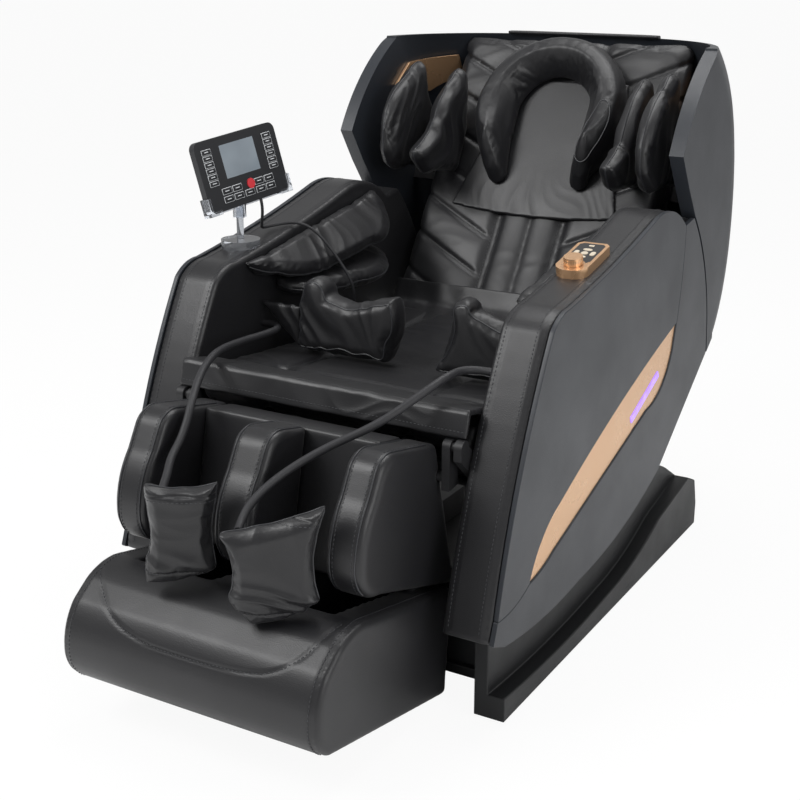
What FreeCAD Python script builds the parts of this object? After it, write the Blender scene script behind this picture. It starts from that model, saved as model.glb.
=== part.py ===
"""Massage chair: rocking seat shell on a base, reclining back, swinging leg rest with a foot box.

Millimetres. The origin is on the floor under the middle of the chair, +Z is up, -Y is the front
(the side the sitter's feet point to) and +X is the sitter's left.
"""
import FreeCAD, Part
import math
import os
import Sketcher
from FreeCAD import Placement, Rotation, Vector

doc = FreeCAD.newDocument("MassageChair")

# Driving sizes: a number is one size, and a pair is a place in the side view, (y, z).
SIZES = {
    "half_width": 400,          # outer faces of the side panels, from the middle
    "skin": 9,                  # thickness of a moulded side panel
    "arm_inner": 300,           # inner face of an arm, from the middle
    "arm_wall": 8,              # inner wall of an arm
    "arm_band": 18,             # padded band over an arm
    "arm_round": 7,             # rounding of its edges
    "gap": 0.3,                 # air between parts that only lie close
    "run": 0.05,                # radial play of a pin in its bore
    # Base
    "rail_inset": 5,            # from the outer face of a side panel in to the rail's foot
    "rail_foot": 32,
    "rail_wall": 27,
    "foot_pad": 6,
    "foot_pad_radius": 14,
    "foot_pad_inset": 8.4,
    "rail_front": (-415, 53),
    "rail_dip": (-178, 42),
    "rail_low": (56, 51),
    "rail_rise": (195, 68),
    "rail_shoulder": (329, 109),
    "rail_peak": (513, 141),
    "rail_heel": (560, 120),
    "rail_end": (580, 55),
    "wall_top": 230,
    "wall_crest_y": 250,
    "wall_fall": (380, 210),
    "wall_rear": (470, 168),
    "front_panel_y": -325,
    "front_panel_thick": 6,
    "front_panel_half": 294,
    "front_panel_high": 225,
    "tray_z": 40,
    "tray_thick": 3,
    "tray_front": -335,
    "tray_rear": 500,
    "tube_deep": 26,
    "tube_wide": 40,
    "front_tube_y": -300,
    "rear_tube_y": 455,
    "bracket_inner": 236,
    "bracket_thick": 12,
    "bracket_half": 30,
    "inlet_x": -150,
    "inlet_wide": 74,
    "inlet_deep": 30,
    "inlet_high": 44,
    "box_x": -220,
    "box_y": 90,
    "box_wide": 160,
    "box_long": 210,
    "box_high": 60,
    "pump_x": 60,
    "pump_y": 110,
    "pump_wide": 150,
    "pump_long": 190,
    "pump_high": 90,
    # Joints in the side view
    "tilt": (396, 280),
    "recline": (226, 400),
    "knee": (-392, 485),
    "tilt_angle": 15,
    "recline_angle": 35,
    "knee_angle": 75,
    "pin_radius": 8,
    "recline_pin_radius": 10,
    "extension": 120,
    # Seat frame
    "plate_outer": 300,
    "plate_inner": 285,
    "plate_top": 450,
    "push_tube": (-200, 365),
    "push_tube_radius": 13,
    "motor_wall_y": -20,
    "motor_wall_thick": 6,
    "motor_wall_low": 286,
    "motor_wall_high": 440,
    "motor_radius": 23,
    "motor_base": 8,
    "rod_radius": 10,
    "yoke_wide": 16,
    "yoke_wall": 5,
    "slot_play": 2.4,
    "crank_radius": 90,
    "crank_pin_radius": 7,
    "crank_x": 60,
    "lever_radius": 90,
    "lever_pin_radius": 8,
    "lever_x": -60,
    "knee_motor_long": 150,
    "recline_motor_long": 130,
    "tilt_motor_long": 200,
    "tilt_motor_low": 52,
    # Arms, side view
    "arm_toe": (-473, 181),
    "arm_shin": (-384, 448),
    "arm_knee": (-274, 668),
    "arm_bend": (-243, 690),
    "arm_brow": (-205, 697),
    "arm_rest": (-16, 730),
    "arm_elbow": (185, 778),
    "arm_crown": (294, 779),
    "arm_back": (366, 739),
    "seam_mid": (365, 665),
    "wing_foot": (551, 460),
    "wing_waist": (482, 664),
    "wing_head": (416, 747),
    "panel_heel": (592, 448),
    "panel_hip": (456, 354),
    "panel_rear": (290, 238),
    "panel_belly": (90, 176),
    "panel_low": (-114, 153),
    "panel_shin": (-300, 147),
    "panel_toe": (-428, 161),
    "panel_tip": (-458, 220),
    "toe_seam": (-398, 221),
    # Gold blade, side view
    "blade_tip": (-338, 240),
    "blade_bow": (-291, 304),
    "blade_low": (-220, 346),
    "blade_rise": (-36, 421),
    "blade_top": (345, 541),
    "blade_side": (331, 487),
    "blade_chin": (296, 436),
    "blade_under": (200, 396),
    "blade_keel": (-240, 262),
    "blade_lip": (-290, 246),
    "blade_depth": 6,
    "light_low": (117, 398),
    "light_high": (257, 455),
    "light_half": 7,
    "light_proud": 1.5,
    # Seat
    "seat_half": 296,
    "seat_seam": 150,
    "seat_crown": 3,
    "roll_foot": (-322, 453.5),
    "roll_front": (-345, 486),
    "roll_brow": (-320, 511),
    "roll_top": (-295, 521),
    "roll_back": (-262, 519),
    "seat_dip": (20, 496),
    "seat_rear": (338, 495),
    "seat_heel": (328, 453.5),
    "curtain_half": 299.7,
    "curtain_thick": 6,
    "curtain_seat": (-296, 524),
    "curtain_lip": (-376, 548),
    "curtain_hem": (-386, 501),
    # Back
    "shell_rear": 788,
    "shell_side": 30,
    "shell_back": 14,
    "pad_half": 282,
    "pad_strip": 77,
    "pad_crown_rise": 2,
    "pad_toe": (352, 505),
    "pad_waist": (488, 700),
    "pad_head": (700, 1072),
    "pad_crown": (724, 1060),
    "pad_spine": (541, 668),
    "pad_heel": (403, 473),
    "wing_clear": 3,
    "wing_cheek": (372, 811),
    "wing_vertex": (324, 882),
    "wing_brow": (396, 982),
    "wing_top": (514, 1072),
    "top_z": 1076,
    "shell_low": 448,
    "rail_half": 280,
    "rail_wide": 25,
    "rail_thick": 32,
    "shell_bar": 330,           # up the track to the bars that carry the shell
    "strap_half": 185,
    "strap_thick": 6,
    "track_foot": (432, 457),
    "track_angle": 28.8,
    "track_long": 560,
    "arm_plate_outer": 277,
    "arm_plate_thick": 15,
    "carriage_travel": 305,
    "carriage_start": 90,
    "carriage_high": 120,
    "carriage_half": 250,
    "carriage_thick": 16,
    "carriage_lift": 62,
    "roller_radius": 30,
    "roller_wide": 44,
    "roller_x": 70,
    "roller_pin": 6,
    "roller_set_back": 28,
    # Leg rest
    "leg_half": 252,
    "leg_wall": 70,
    "leg_middle": 40,
    "leg_round": 12,
    "leg_lean": 12.0,
    "calf_rear": (-329, 201),
    "calf_floor": (-580, 283),
    "calf_chin": (-632, 309),
    "calf_nose": (-647, 346),
    "calf_face": (-638, 402),
    "calf_brow": (-608, 454),
    "calf_lid": (-583, 497),
    "calf_round": (-563, 513),
    "calf_top": (-535, 516),
    "calf_hinge": (-397, 486),
    "calf_back_top": (-470, 500),
    "calf_back_low": (-522, 264),
    "leg_tube_x": 217,
    "leg_tube": 34,
    "leg_tube_top": (-388, 452),
    "leg_tube_long": 226,
    "leg_rod_radius": 9,
    "leg_rod_start": 50,
    "leg_rod_end": 300,
    "pouch_turn": 30,
    # Foot box
    "box_half": 261,
    "sole_rear": (-378, 3),
    "sole_front": (-752, 82),
    "sole_toe": (-776, 104),
    "sole_nose": (-788, 150),
    "sole_brow": (-778, 194),
    "sole_cheek": (-756, 228),
    "sole_step": (-719, 255),
    "sole_lip": (-686, 267),
    "sole_rim": (-649, 270),
    "sole_back": (-353, 204),
    "well_inner": 45,
    "well_outer": 200,
    "well_front": -652,
    "well_toe": (-640, 110),
    "well_ball": (-605, 90),
    "well_heel": (-402, 46),
    "well_rear": (-386, 64),
    "roller_line": (-500, 78),
    "sole_disc_radius": 22,
    "sole_disc_wide": 24,
    "sole_shaft_radius": 5,
    # Air bags
    "hip_y": -150,
    "hip_thick": 58,
    "leaf_thick": 34,
    "leaf_low": 612,
    "leaf_high": 688,
    "leaf_low_droop": 14,
    "leaf_low_right": 92,
    "leaf_low_left": 82,
    "leaf_high_right": 88,
    "leaf_high_left": 88,
    "leaf_high_droop": 46,
    "leaf_slope": 9,
    "shoulder_thick": 38,
    "shoulder_inner": 206,
    "shoulder_outer": 282.5,
    # Controller on the left arm
    "pod_inset": 60,            # from the outer face of the arm to the middle of the pod
    "pod_y": -24,
    "pod_wide": 62,
    "pod_long": 130,
    "pod_high": 20,
    "pod_slope": 11.5,
    "pod_base": 726,
    "knob_radius": 17,
    "knob_high": 15,
    "knob_back": 36,
    "key_travel": 1.0,
    "key_high": 3.0,
    "key_play": 0.3,
    "key_proud": 1.2,
    "petal_long": 17,
    "petal_wide": 9,
    "petal_ring": 16,
    "key_centre": 14,
    "centre_radius": 6.5,
    "small_back": 48,
    # Tablet on the right arm
    "stand_inset": 50,
    "stand_y": -124,
    "stand_radius": 39,
    "stand_foot": 6,
    "post_radius": 7,
    "post_top": 790,
    "stand_base": 712,
    "tablet_inset": 57,
    "tablet_y": -118.4,
    "tablet_z": 863.6,
    "tablet_wide": 219,
    "tablet_high": 139,
    "tablet_thick": 14,
    "tablet_turn": 80,
    "tablet_lean": 13.3,
    "tablet_roll": -6.0,
    "tablet_round": 15,
    "screen_wide": 92,
    "screen_high": 65,
    "screen_up": 20,
    "power_radius": 10,
    "power_side": 10,
    "power_drop": 34,
    "cradle_wall": 4,
    "clip_wide": 26,
    "clip_high": 32,
    # Pillow and its mat, measured up the slope of the back from the foot of the mat
    "mat_low": 700,
    "mat_high": 985,
    "flap_thick": 8,
    "flap_half": 200,
    "flap_high": 320,
    "pillow_half": 174,
    "pillow_hollow": 80,
    "pillow_tip": 56,
    "pillow_top": 415,
    "pillow_deep": 104,
    "pillow_shallow": 60,
    "pillow_lean": 24,
    # Loose hoses and cable
    "hose_radius": 7,
    "cable_radius": 3,
}


class Size:
    """A length that knows its value and the sheet formula that gives it."""

    def __init__(self, value, formula):
        self.value = float(value)
        self.formula = formula

    def __float__(self):
        return self.value

    def __add__(self, other):
        return combine(self, "+", other)

    def __radd__(self, other):
        return combine(other, "+", self)

    def __sub__(self, other):
        return combine(self, "-", other)

    def __rsub__(self, other):
        return combine(other, "-", self)

    def __mul__(self, other):
        return combine(self, "*", other)

    def __rmul__(self, other):
        return combine(other, "*", self)

    def __truediv__(self, other):
        return combine(self, "/", other)

    def __neg__(self):
        return combine(0, "-", self)


def sized(value):
    return value if isinstance(value, Size) else Size(value, f"{float(value):.6f}")


def combine(left, sign, right):
    left, right = sized(left), sized(right)
    results = {
        "+": left.value + right.value,
        "-": left.value - right.value,
        "*": left.value * right.value,
        "/": left.value / right.value if right.value else 0.0,
    }
    return Size(results[sign], f"({left.formula} {sign} {right.formula})")


class Sheet:
    """The spreadsheet of driving sizes, read by name."""

    def __init__(self, sizes):
        self.cells = doc.addObject("Spreadsheet::Sheet", "Sizes")
        row = 1
        for name, value in sizes.items():
            if isinstance(value, tuple):
                pairs = [(name + "_y", value[0]), (name + "_z", value[1])]
            else:
                pairs = [(name, value)]
            for alias, number in pairs:
                self.cells.set(f"A{row}", alias)
                self.cells.set(f"B{row}", str(number))
                self.cells.setAlias(f"B{row}", alias)
                row += 1
        doc.recompute()

    def __getattr__(self, name):
        return Size(float(self.cells.get(name)), f"Sizes.{name}")

    def at(self, name):
        return (getattr(self, name + "_y"), getattr(self, name + "_z"))

    def spot(self, name):
        y, z = self.at(name)
        return Vector(0, y.value, z.value)


S = Sheet(SIZES)
NODES = {}


def node(name, item):
    """Name a finished piece, so that it is written to its own file."""
    item.Label = name
    NODES[name] = item
    return item


def bind(item, path, size):
    item.setExpression(path, sized(size).formula)


def origin_plane(body, role):
    return [plane for plane in body.Origin.OriginFeatures if plane.Role == role][0]


def outline(*names):
    """Corners of a side view by name; a name that starts with ~ is the middle of an arc."""
    return [("~", *S.at(name[1:])) if name.startswith("~") else S.at(name) for name in names]


class Outline:
    """The lines, arcs and circles of one sketch, with every corner bound to its sizes."""

    def __init__(self, sketch):
        self.sketch = sketch
        self.rules = []
        self.formulas = {}

    def pin(self, index, end, u, v):
        for kind, size in (("DistanceX", u), ("DistanceY", v)):
            size = sized(size)
            self.formulas[len(self.rules)] = size.formula
            self.rules.append(Sketcher.Constraint(kind, -1, 1, index, end, size.value))

    def loop(self, points):
        """One closed outline; a point that starts with ~ is the middle of a three-point arc."""
        stretches = []
        for point in points:
            if point[0] == "~":
                stretches[-1][1] = point[1:]
            else:
                stretches.append([point, None])
        spots = [Vector(float(u), float(v), 0) for (u, v), middle in stretches]
        drawn, ends = [], []
        for number, (corner, middle) in enumerate(stretches):
            start, end = spots[number], spots[(number + 1) % len(spots)]
            order = (1, 2)
            shape = None if middle else Part.LineSegment(start, end)
            if middle:
                through = Vector(float(middle[0]), float(middle[1]), 0)
                # A sketch counts the ends of an arc counterclockwise, whichever way it was drawn.
                if (through - start).cross(end - through).z < 0:
                    start, end, order = end, start, (2, 1)
                shape = Part.Arc(start, through, end)
            drawn.append(self.sketch.addGeometry(shape, False))
            ends.append(order)
        for number, here in enumerate(drawn):
            after = (number + 1) % len(drawn)
            self.rules.append(Sketcher.Constraint(
                "Coincident", here, ends[number][1], drawn[after], ends[after][0]))
        for number, (corner, middle) in enumerate(stretches):
            self.pin(drawn[number], ends[number][0], *corner)
            if middle is not None:
                through = Part.Point(Vector(float(middle[0]), float(middle[1]), 0))
                mark = self.sketch.addGeometry(through, True)
                self.pin(mark, 1, *middle)
                self.rules.append(Sketcher.Constraint("PointOnObject", mark, 1, drawn[number]))

    def circle(self, u, v, radius):
        radius = sized(radius)
        centre = Vector(float(u), float(v), 0)
        circle = Part.Circle(centre, Vector(0, 0, 1), radius.value)
        ring = self.sketch.addGeometry(circle, False)
        self.formulas[len(self.rules)] = radius.formula
        self.rules.append(Sketcher.Constraint("Radius", ring, radius.value))
        self.pin(ring, 3, u, v)

    def settle(self):
        """Give the sketch all its constraints at once, and then their formulas."""
        self.sketch.addConstraint(self.rules)
        for number, formula in self.formulas.items():
            self.sketch.setExpression(f"Constraints[{number}]", formula)


def new_sketch(body, name, plane, height):
    """A sketch on an origin plane; height is where it lies along X, Y or Z."""
    sketch = body.newObject("Sketcher::SketchObject", name)
    sketch.AttachmentSupport = [(origin_plane(body, plane + "_Plane"), "")]
    sketch.MapMode = "FlatFace"
    bind(sketch, "AttachmentOffset.Base.z", -sized(height) if plane == "XZ" else height)
    return sketch


def slab(name, plane, points, low, high, holes=()):
    """A straight block: its outline on YZ, XZ or XY, from low to high along the third axis."""
    body = doc.addObject("PartDesign::Body", name)
    start = high if plane == "XZ" else low
    sketch = new_sketch(body, name + "_outline", plane, start)
    drawing = Outline(sketch)
    drawing.loop(points)
    for hole in holes:
        drawing.circle(*hole)
    drawing.settle()
    pad = body.newObject("PartDesign::Pad", name + "_pad")
    pad.Profile = sketch
    bind(pad, "Length", sized(high) - low)
    sketch.Visibility = False
    return body


def sided(name, side, points, inner, outer, holes=()):
    """A slab seen from the side, on the left (side 1) or on the right (side -1)."""
    if side > 0:
        return slab(name, "YZ", points, inner, outer, holes)
    return slab(name, "YZ", points, -sized(outer), -sized(inner), holes)


def rectangle(u0, v0, u1, v1):
    return [(u0, v0), (u1, v0), (u1, v1), (u0, v1)]


def rounded(half_u, half_v, radius):
    """A rectangle about the origin with rounded corners."""
    near = radius * (1 - math.sqrt(0.5))
    points = []
    for u, v, turn in ((-1, -1, 1), (1, -1, -1), (1, 1, 1), (-1, 1, -1)):
        ends = [(half_u * u, (half_v - radius) * v), ((half_u - radius) * u, half_v * v)]
        first, last = ends if turn > 0 else ends[::-1]
        points += [first, ("~", (half_u - near) * u, (half_v - near) * v), last]
    return points


def block(name, low, high):
    """A box from its low corner to its high corner."""
    item = doc.addObject("Part::Box", name)
    for side, start, end in zip(("Length", "Width", "Height"), low, high):
        bind(item, side, sized(end) - start)
    for axis, start in zip("xyz", low):
        bind(item, f"Placement.Base.{axis}", start)
    return item


def drawn_in(points, inset):
    """The outline with each point moved inwards by inset, along its own normal."""
    spots = [Vector(float(point[-2]), float(point[-1]), 0) for point in points]
    area = sum(a.x * b.y - b.x * a.y for a, b in zip(spots, spots[1:] + spots[:1]))
    moved = []
    for before, point, spot, after in zip(spots[-1:] + spots, points, spots, spots[1:] + spots[:1]):
        heading = (after - before).normalize()
        inward = Vector(-heading.y, heading.x, 0) * (inset if area > 0 else -inset)
        spot = spot + inward
        moved.append(("~", spot.x, spot.y) if point[0] == "~" else (spot.x, spot.y))
    return moved


LAY = {
    "YZ": lambda u, v, place: Vector(place, u, v),
    "XZ": lambda u, v, place: Vector(u, place, v),
    "XY": lambda u, v, place: Vector(u, v, place),
}


def ring(points, place, lay):
    """A closed wire of lines and three-point arcs, laid at its place."""
    edges = []
    count = len(points)
    for number, point in enumerate(points):
        if point[0] == "~":
            continue
        after = points[(number + 1) % count]
        start = lay(float(point[0]), float(point[1]), place)
        if after[0] == "~":
            end = points[(number + 2) % count]
            end = lay(float(end[0]), float(end[1]), place)
            middle = lay(float(after[1]), float(after[2]), place)
            edges.append(Part.Arc(start, middle, end).toShape())
        else:
            end = lay(float(after[0]), float(after[1]), place)
            edges.append(Part.makeLine(start, end))
    return Part.Wire(edges)


def cushion(name, lay, points, stations):
    """A padded form: its outline at each station (place, inset), drawn in at edges and seams."""
    lay = LAY.get(lay, lay)
    wires = [ring(drawn_in(points, inset), float(place), lay) for place, inset in stations]
    return solid(name, Part.makeLoft(wires, True, True))


def padded(low, high, edge, seams=(), crown=0.0):
    """Stations from low to high: edges rounded by edge, and a sewn channel at each seam."""
    low, high = float(low), float(high)
    rounding = ((0.0, 1.0), (0.3, 0.35), (1.0, 0.0))
    stations = [(low + edge * step, edge * drop) for step, drop in rounding]
    stations += [(high - edge * step, edge * drop) for step, drop in rounding]
    for place, depth in seams:
        stations += [(place - depth * 2, 0.0), (place - depth * 0.5, depth * 0.8), (place, depth),
                     (place + depth * 0.5, depth * 0.8), (place + depth * 2, 0.0)]
    stations.sort()
    if crown:
        swollen = []
        for (here, inset), (after, following) in zip(stations, stations[1:]):
            if inset == 0.0 and following == 0.0:
                swollen += [(here * 0.7 + after * 0.3, -crown * 0.85), (here * 0.5 + after * 0.5, -crown),
                            (here * 0.3 + after * 0.7, -crown * 0.85)]
        stations = sorted(stations + swollen)
    return stations


TURNS = {"x": Rotation(Vector(0, 1, 0), 90), "y": Rotation(Vector(1, 0, 0), -90), "z": Rotation()}


def rod(name, axis, start, length, radius, across):
    """A cylinder along x, y or z, from start; across is its place on the two other axes."""
    item = doc.addObject("Part::Cylinder", name)
    bind(item, "Radius", radius)
    bind(item, "Height", length)
    item.Placement = Placement(Vector(), TURNS[axis])
    places = dict(zip([letter for letter in "xyz" if letter != axis], across))
    places[axis] = start
    for letter, size in places.items():
        bind(item, f"Placement.Base.{letter}", size)
    return item


def aimed_rod(name, foot, direction, start, length, radius):
    """A cylinder along a slanted line: it starts that far from foot, along direction."""
    item = doc.addObject("Part::Cylinder", name)
    bind(item, "Radius", radius)
    bind(item, "Height", length)
    base = foot + direction * float(start)
    item.Placement = Placement(base, Rotation(Vector(0, 0, 1), direction))
    return item


def cut(name, base, *tools):
    tool = tools[0] if len(tools) == 1 else fuse(name + "_tools", *tools)
    item = doc.addObject("Part::Cut", name)
    item.Base = base
    item.Tool = tool
    return item


def fuse(name, *pieces):
    item = doc.addObject("Part::MultiFuse", name)
    item.Shapes = list(pieces)
    return item


def common(name, first, second):
    item = doc.addObject("Part::Common", name)
    item.Base = first
    item.Tool = second
    return item


def group(name, *pieces):
    """Separate solids that share one node."""
    item = doc.addObject("Part::Compound", name)
    item.Links = list(pieces)
    return item


def mirrored(name, source):
    item = doc.addObject("Part::Mirroring", name)
    item.Source = source
    item.Normal = Vector(1, 0, 0)
    return item


def solid(name, shape):
    """A shape of Part's own making, as an object of the document."""
    item = doc.addObject("Part::Feature", name)
    item.Shape = shape
    return item


def placed(item, spot, turn):
    item.Placement = Placement(spot, turn)
    return item


def side_turn(vector, angle):
    """The vector turned in the side view by angle degrees, front up and rear down."""
    return Rotation(Vector(1, 0, 0), -angle).multVec(vector)


def leg_direction():
    lean = math.radians(float(S.leg_lean))
    return Vector(0, -math.sin(lean), -math.cos(lean))


def track_direction():
    lean = math.radians(float(S.track_angle))
    return Vector(0, math.sin(lean), math.cos(lean))


def build_base():
    """Two skirted rails, a steel tray with tubes and pivot brackets, and what stands on it."""
    wall = [
        (S.rail_front_y, S.foot_pad), (S.rail_front_y, S.wall_top), (S.wall_crest_y, S.wall_top),
        *outline("~wall_fall", "wall_rear", "rail_peak", "rail_heel", "rail_end"),
        (S.rail_end_y, S.foot_pad),
    ]
    foot = [
        (S.rail_front_y, S.foot_pad),
        *outline("rail_front", "~rail_dip", "rail_low", "~rail_rise", "rail_shoulder",
                 "rail_peak", "rail_heel", "rail_end"),
        (S.rail_end_y, S.foot_pad),
    ]
    rail_outer = S.half_width - S.rail_inset
    rail_cove = rail_outer - S.rail_foot
    rail_inner = rail_cove - S.rail_wall
    for side, word in ((1, "left"), (-1, "right")):
        name = f"base_rail_{word}"
        inner = sided(name + "_wall", side, wall, rail_inner, rail_cove)
        outer = sided(name + "_foot", side, foot, rail_cove, rail_outer)
        node(name, fuse(name, inner, outer))

    node("front_panel", block(
        "front_panel",
        (-S.front_panel_half, S.front_panel_y, S.tray_z + S.tray_thick),
        (S.front_panel_half, S.front_panel_y + S.front_panel_thick, S.front_panel_high),
    ))

    tray_top = S.tray_z + S.tray_thick
    tray = block("tray", (-rail_inner, S.tray_front, S.tray_z),
                 (rail_inner, S.tray_rear, tray_top))
    tubes = [
        block(f"cross_tube_{word}",
              (-rail_inner, place - S.tube_wide / 2, S.tray_z - S.tube_deep),
              (rail_inner, place + S.tube_wide / 2, S.tray_z))
        for word, place in (("front", S.front_tube_y), ("rear", S.rear_tube_y))
    ]
    tilt_y, tilt_z = S.at("tilt")
    half = S.bracket_half
    lug = [
        (tilt_y - half, tray_top), (tilt_y + half, tray_top), (tilt_y + half * 0.8, tilt_z),
        ("~", tilt_y, tilt_z + half * 0.8), (tilt_y - half * 0.8, tilt_z),
    ]
    bore = [(tilt_y, tilt_z, S.pin_radius + S.run)]
    brackets = [
        sided(f"tilt_bracket_{word}", side, lug, S.bracket_inner,
              S.bracket_inner + S.bracket_thick, bore)
        for side, word in ((1, "left"), (-1, "right"))
    ]
    node("base_frame", group("base_frame", tray, *tubes, *brackets))

    pads = [
        rod(f"pad_{number}", "z", 0, S.foot_pad, S.foot_pad_radius, (x, y))
        for number, (x, y) in enumerate(
            (x, y)
            for x in (rail_cove - S.foot_pad_inset, S.foot_pad_inset - rail_cove)
            for y in (S.rail_front_y + 40, S.rail_low_y + 30, S.rail_peak_y)
        )
    ]
    node("rubber_feet", group("rubber_feet", *pads))

    inlet_right = S.inlet_x + S.inlet_wide / 2
    inlet_left = S.inlet_x - S.inlet_wide / 2
    inlet_front = S.tray_rear - S.inlet_deep
    inlet = block("inlet_block", (inlet_left, inlet_front, tray_top),
                  (inlet_right, S.tray_rear, tray_top + S.inlet_high))
    socket = block("socket_recess", (inlet_left + 8, S.tray_rear - 18, tray_top + 12),
                   (inlet_left + 36, S.tray_rear, tray_top + 32))
    switch_hole = block("switch_hole", (inlet_right - 28, inlet_front + 8, tray_top + 9),
                        (inlet_right - 12, S.tray_rear, tray_top + 35))
    node("power_inlet", cut("power_inlet", inlet, socket, switch_hole))
    rocker_x = inlet_right - 20
    face = S.tray_rear
    middle = tray_top + 22
    rocker = [
        (face - 9, middle - 12), (face - 1, middle - 12), (face + 0.5, middle),
        (face + 3, middle + 12), (face - 9, middle + 12),
    ]
    rocker = slab("rocker", "YZ", rocker, rocker_x - 7.4, rocker_x + 7.4)
    pivot = rod("rocker_pin", "x", rocker_x - 7.8, 15.6, 2, (face - 5, middle))
    node("power_switch", fuse("power_switch", rocker, pivot))

    node("control_box", block(
        "control_box", (S.box_x, S.box_y, tray_top),
        (S.box_x + S.box_wide, S.box_y + S.box_long, tray_top + S.box_high)))
    pump = block("pump_case", (S.pump_x, S.pump_y, tray_top),
                 (S.pump_x + S.pump_wide, S.pump_y + S.pump_long, tray_top + S.pump_high))
    outlets = [
        rod(f"pump_outlet_{number}", "y", S.pump_y - 22, 22.5, 5,
            (S.pump_x + 25 + 25 * number, tray_top + S.pump_high / 2))
        for number in range(5)
    ]
    node("air_pump", fuse("air_pump", pump, *outlets))


def slotted_rod(name, foot, direction, motor_start, motor_end, tip, slot_half, pin_radius, x, inside):
    """A push rod with a slotted end: the slot lies across the rod and holds the driven pin."""
    wide, half = float(S.yoke_wide), pin_radius + float(S.slot_play + S.yoke_wall)
    reach = tip - half
    tall = slot_half + pin_radius + 10
    across = Vector(1, 0, 0)
    up = direction.cross(across)
    plate = Part.makeBox(wide, 2 * half, 2 * tall)
    plate.translate(Vector(-wide / 2, -half, -tall))
    play = pin_radius + float(S.slot_play)
    slot = Part.makeBox(wide * 2, 2 * play, 2 * slot_half)
    slot.translate(Vector(-wide, -play, -slot_half))
    ends = [
        Part.makeCylinder(play, wide * 2, Vector(-wide, 0, place), across)
        for place in (-slot_half, slot_half)
    ]
    yoke = plate.cut(slot.multiFuse(ends))
    frame = FreeCAD.Matrix(
        across.x, direction.x, up.x, 0, across.y, direction.y, up.y, 0,
        across.z, direction.z, up.z, 0, 0, 0, 0, 1)
    yoke = yoke.transformGeometry(frame)
    yoke.translate(foot + direction * tip)
    shaft_shape = Part.makeCylinder(float(S.rod_radius), reach - motor_end + inside + 1.0,
                                    foot + direction * (motor_end - inside), direction)
    return solid(name, shaft_shape.fuse(yoke))


def motor(name, foot, direction, start, end, base=0.0):
    """A linear motor: a tube with a bore for its rod, and a gearbox at its foot."""
    outer = aimed_rod(name + "_tube", foot, direction, start, end - start, S.motor_radius)
    bore = aimed_rod(name + "_bore", foot, direction, start + base, end - start,
                     S.rod_radius + S.gap)
    return cut(name + "_bored", outer, bore)


def swing(pivot, radius, angle):
    """A crank that swings evenly about straight down: where its pin starts, and its travel."""
    half = math.radians(angle / 2)
    start = pivot + Vector(0, radius * math.sin(half), -radius * math.cos(half))
    travel = 2 * radius * math.sin(half)
    rise = radius * (1 - math.cos(half))
    return start, travel, rise


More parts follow.
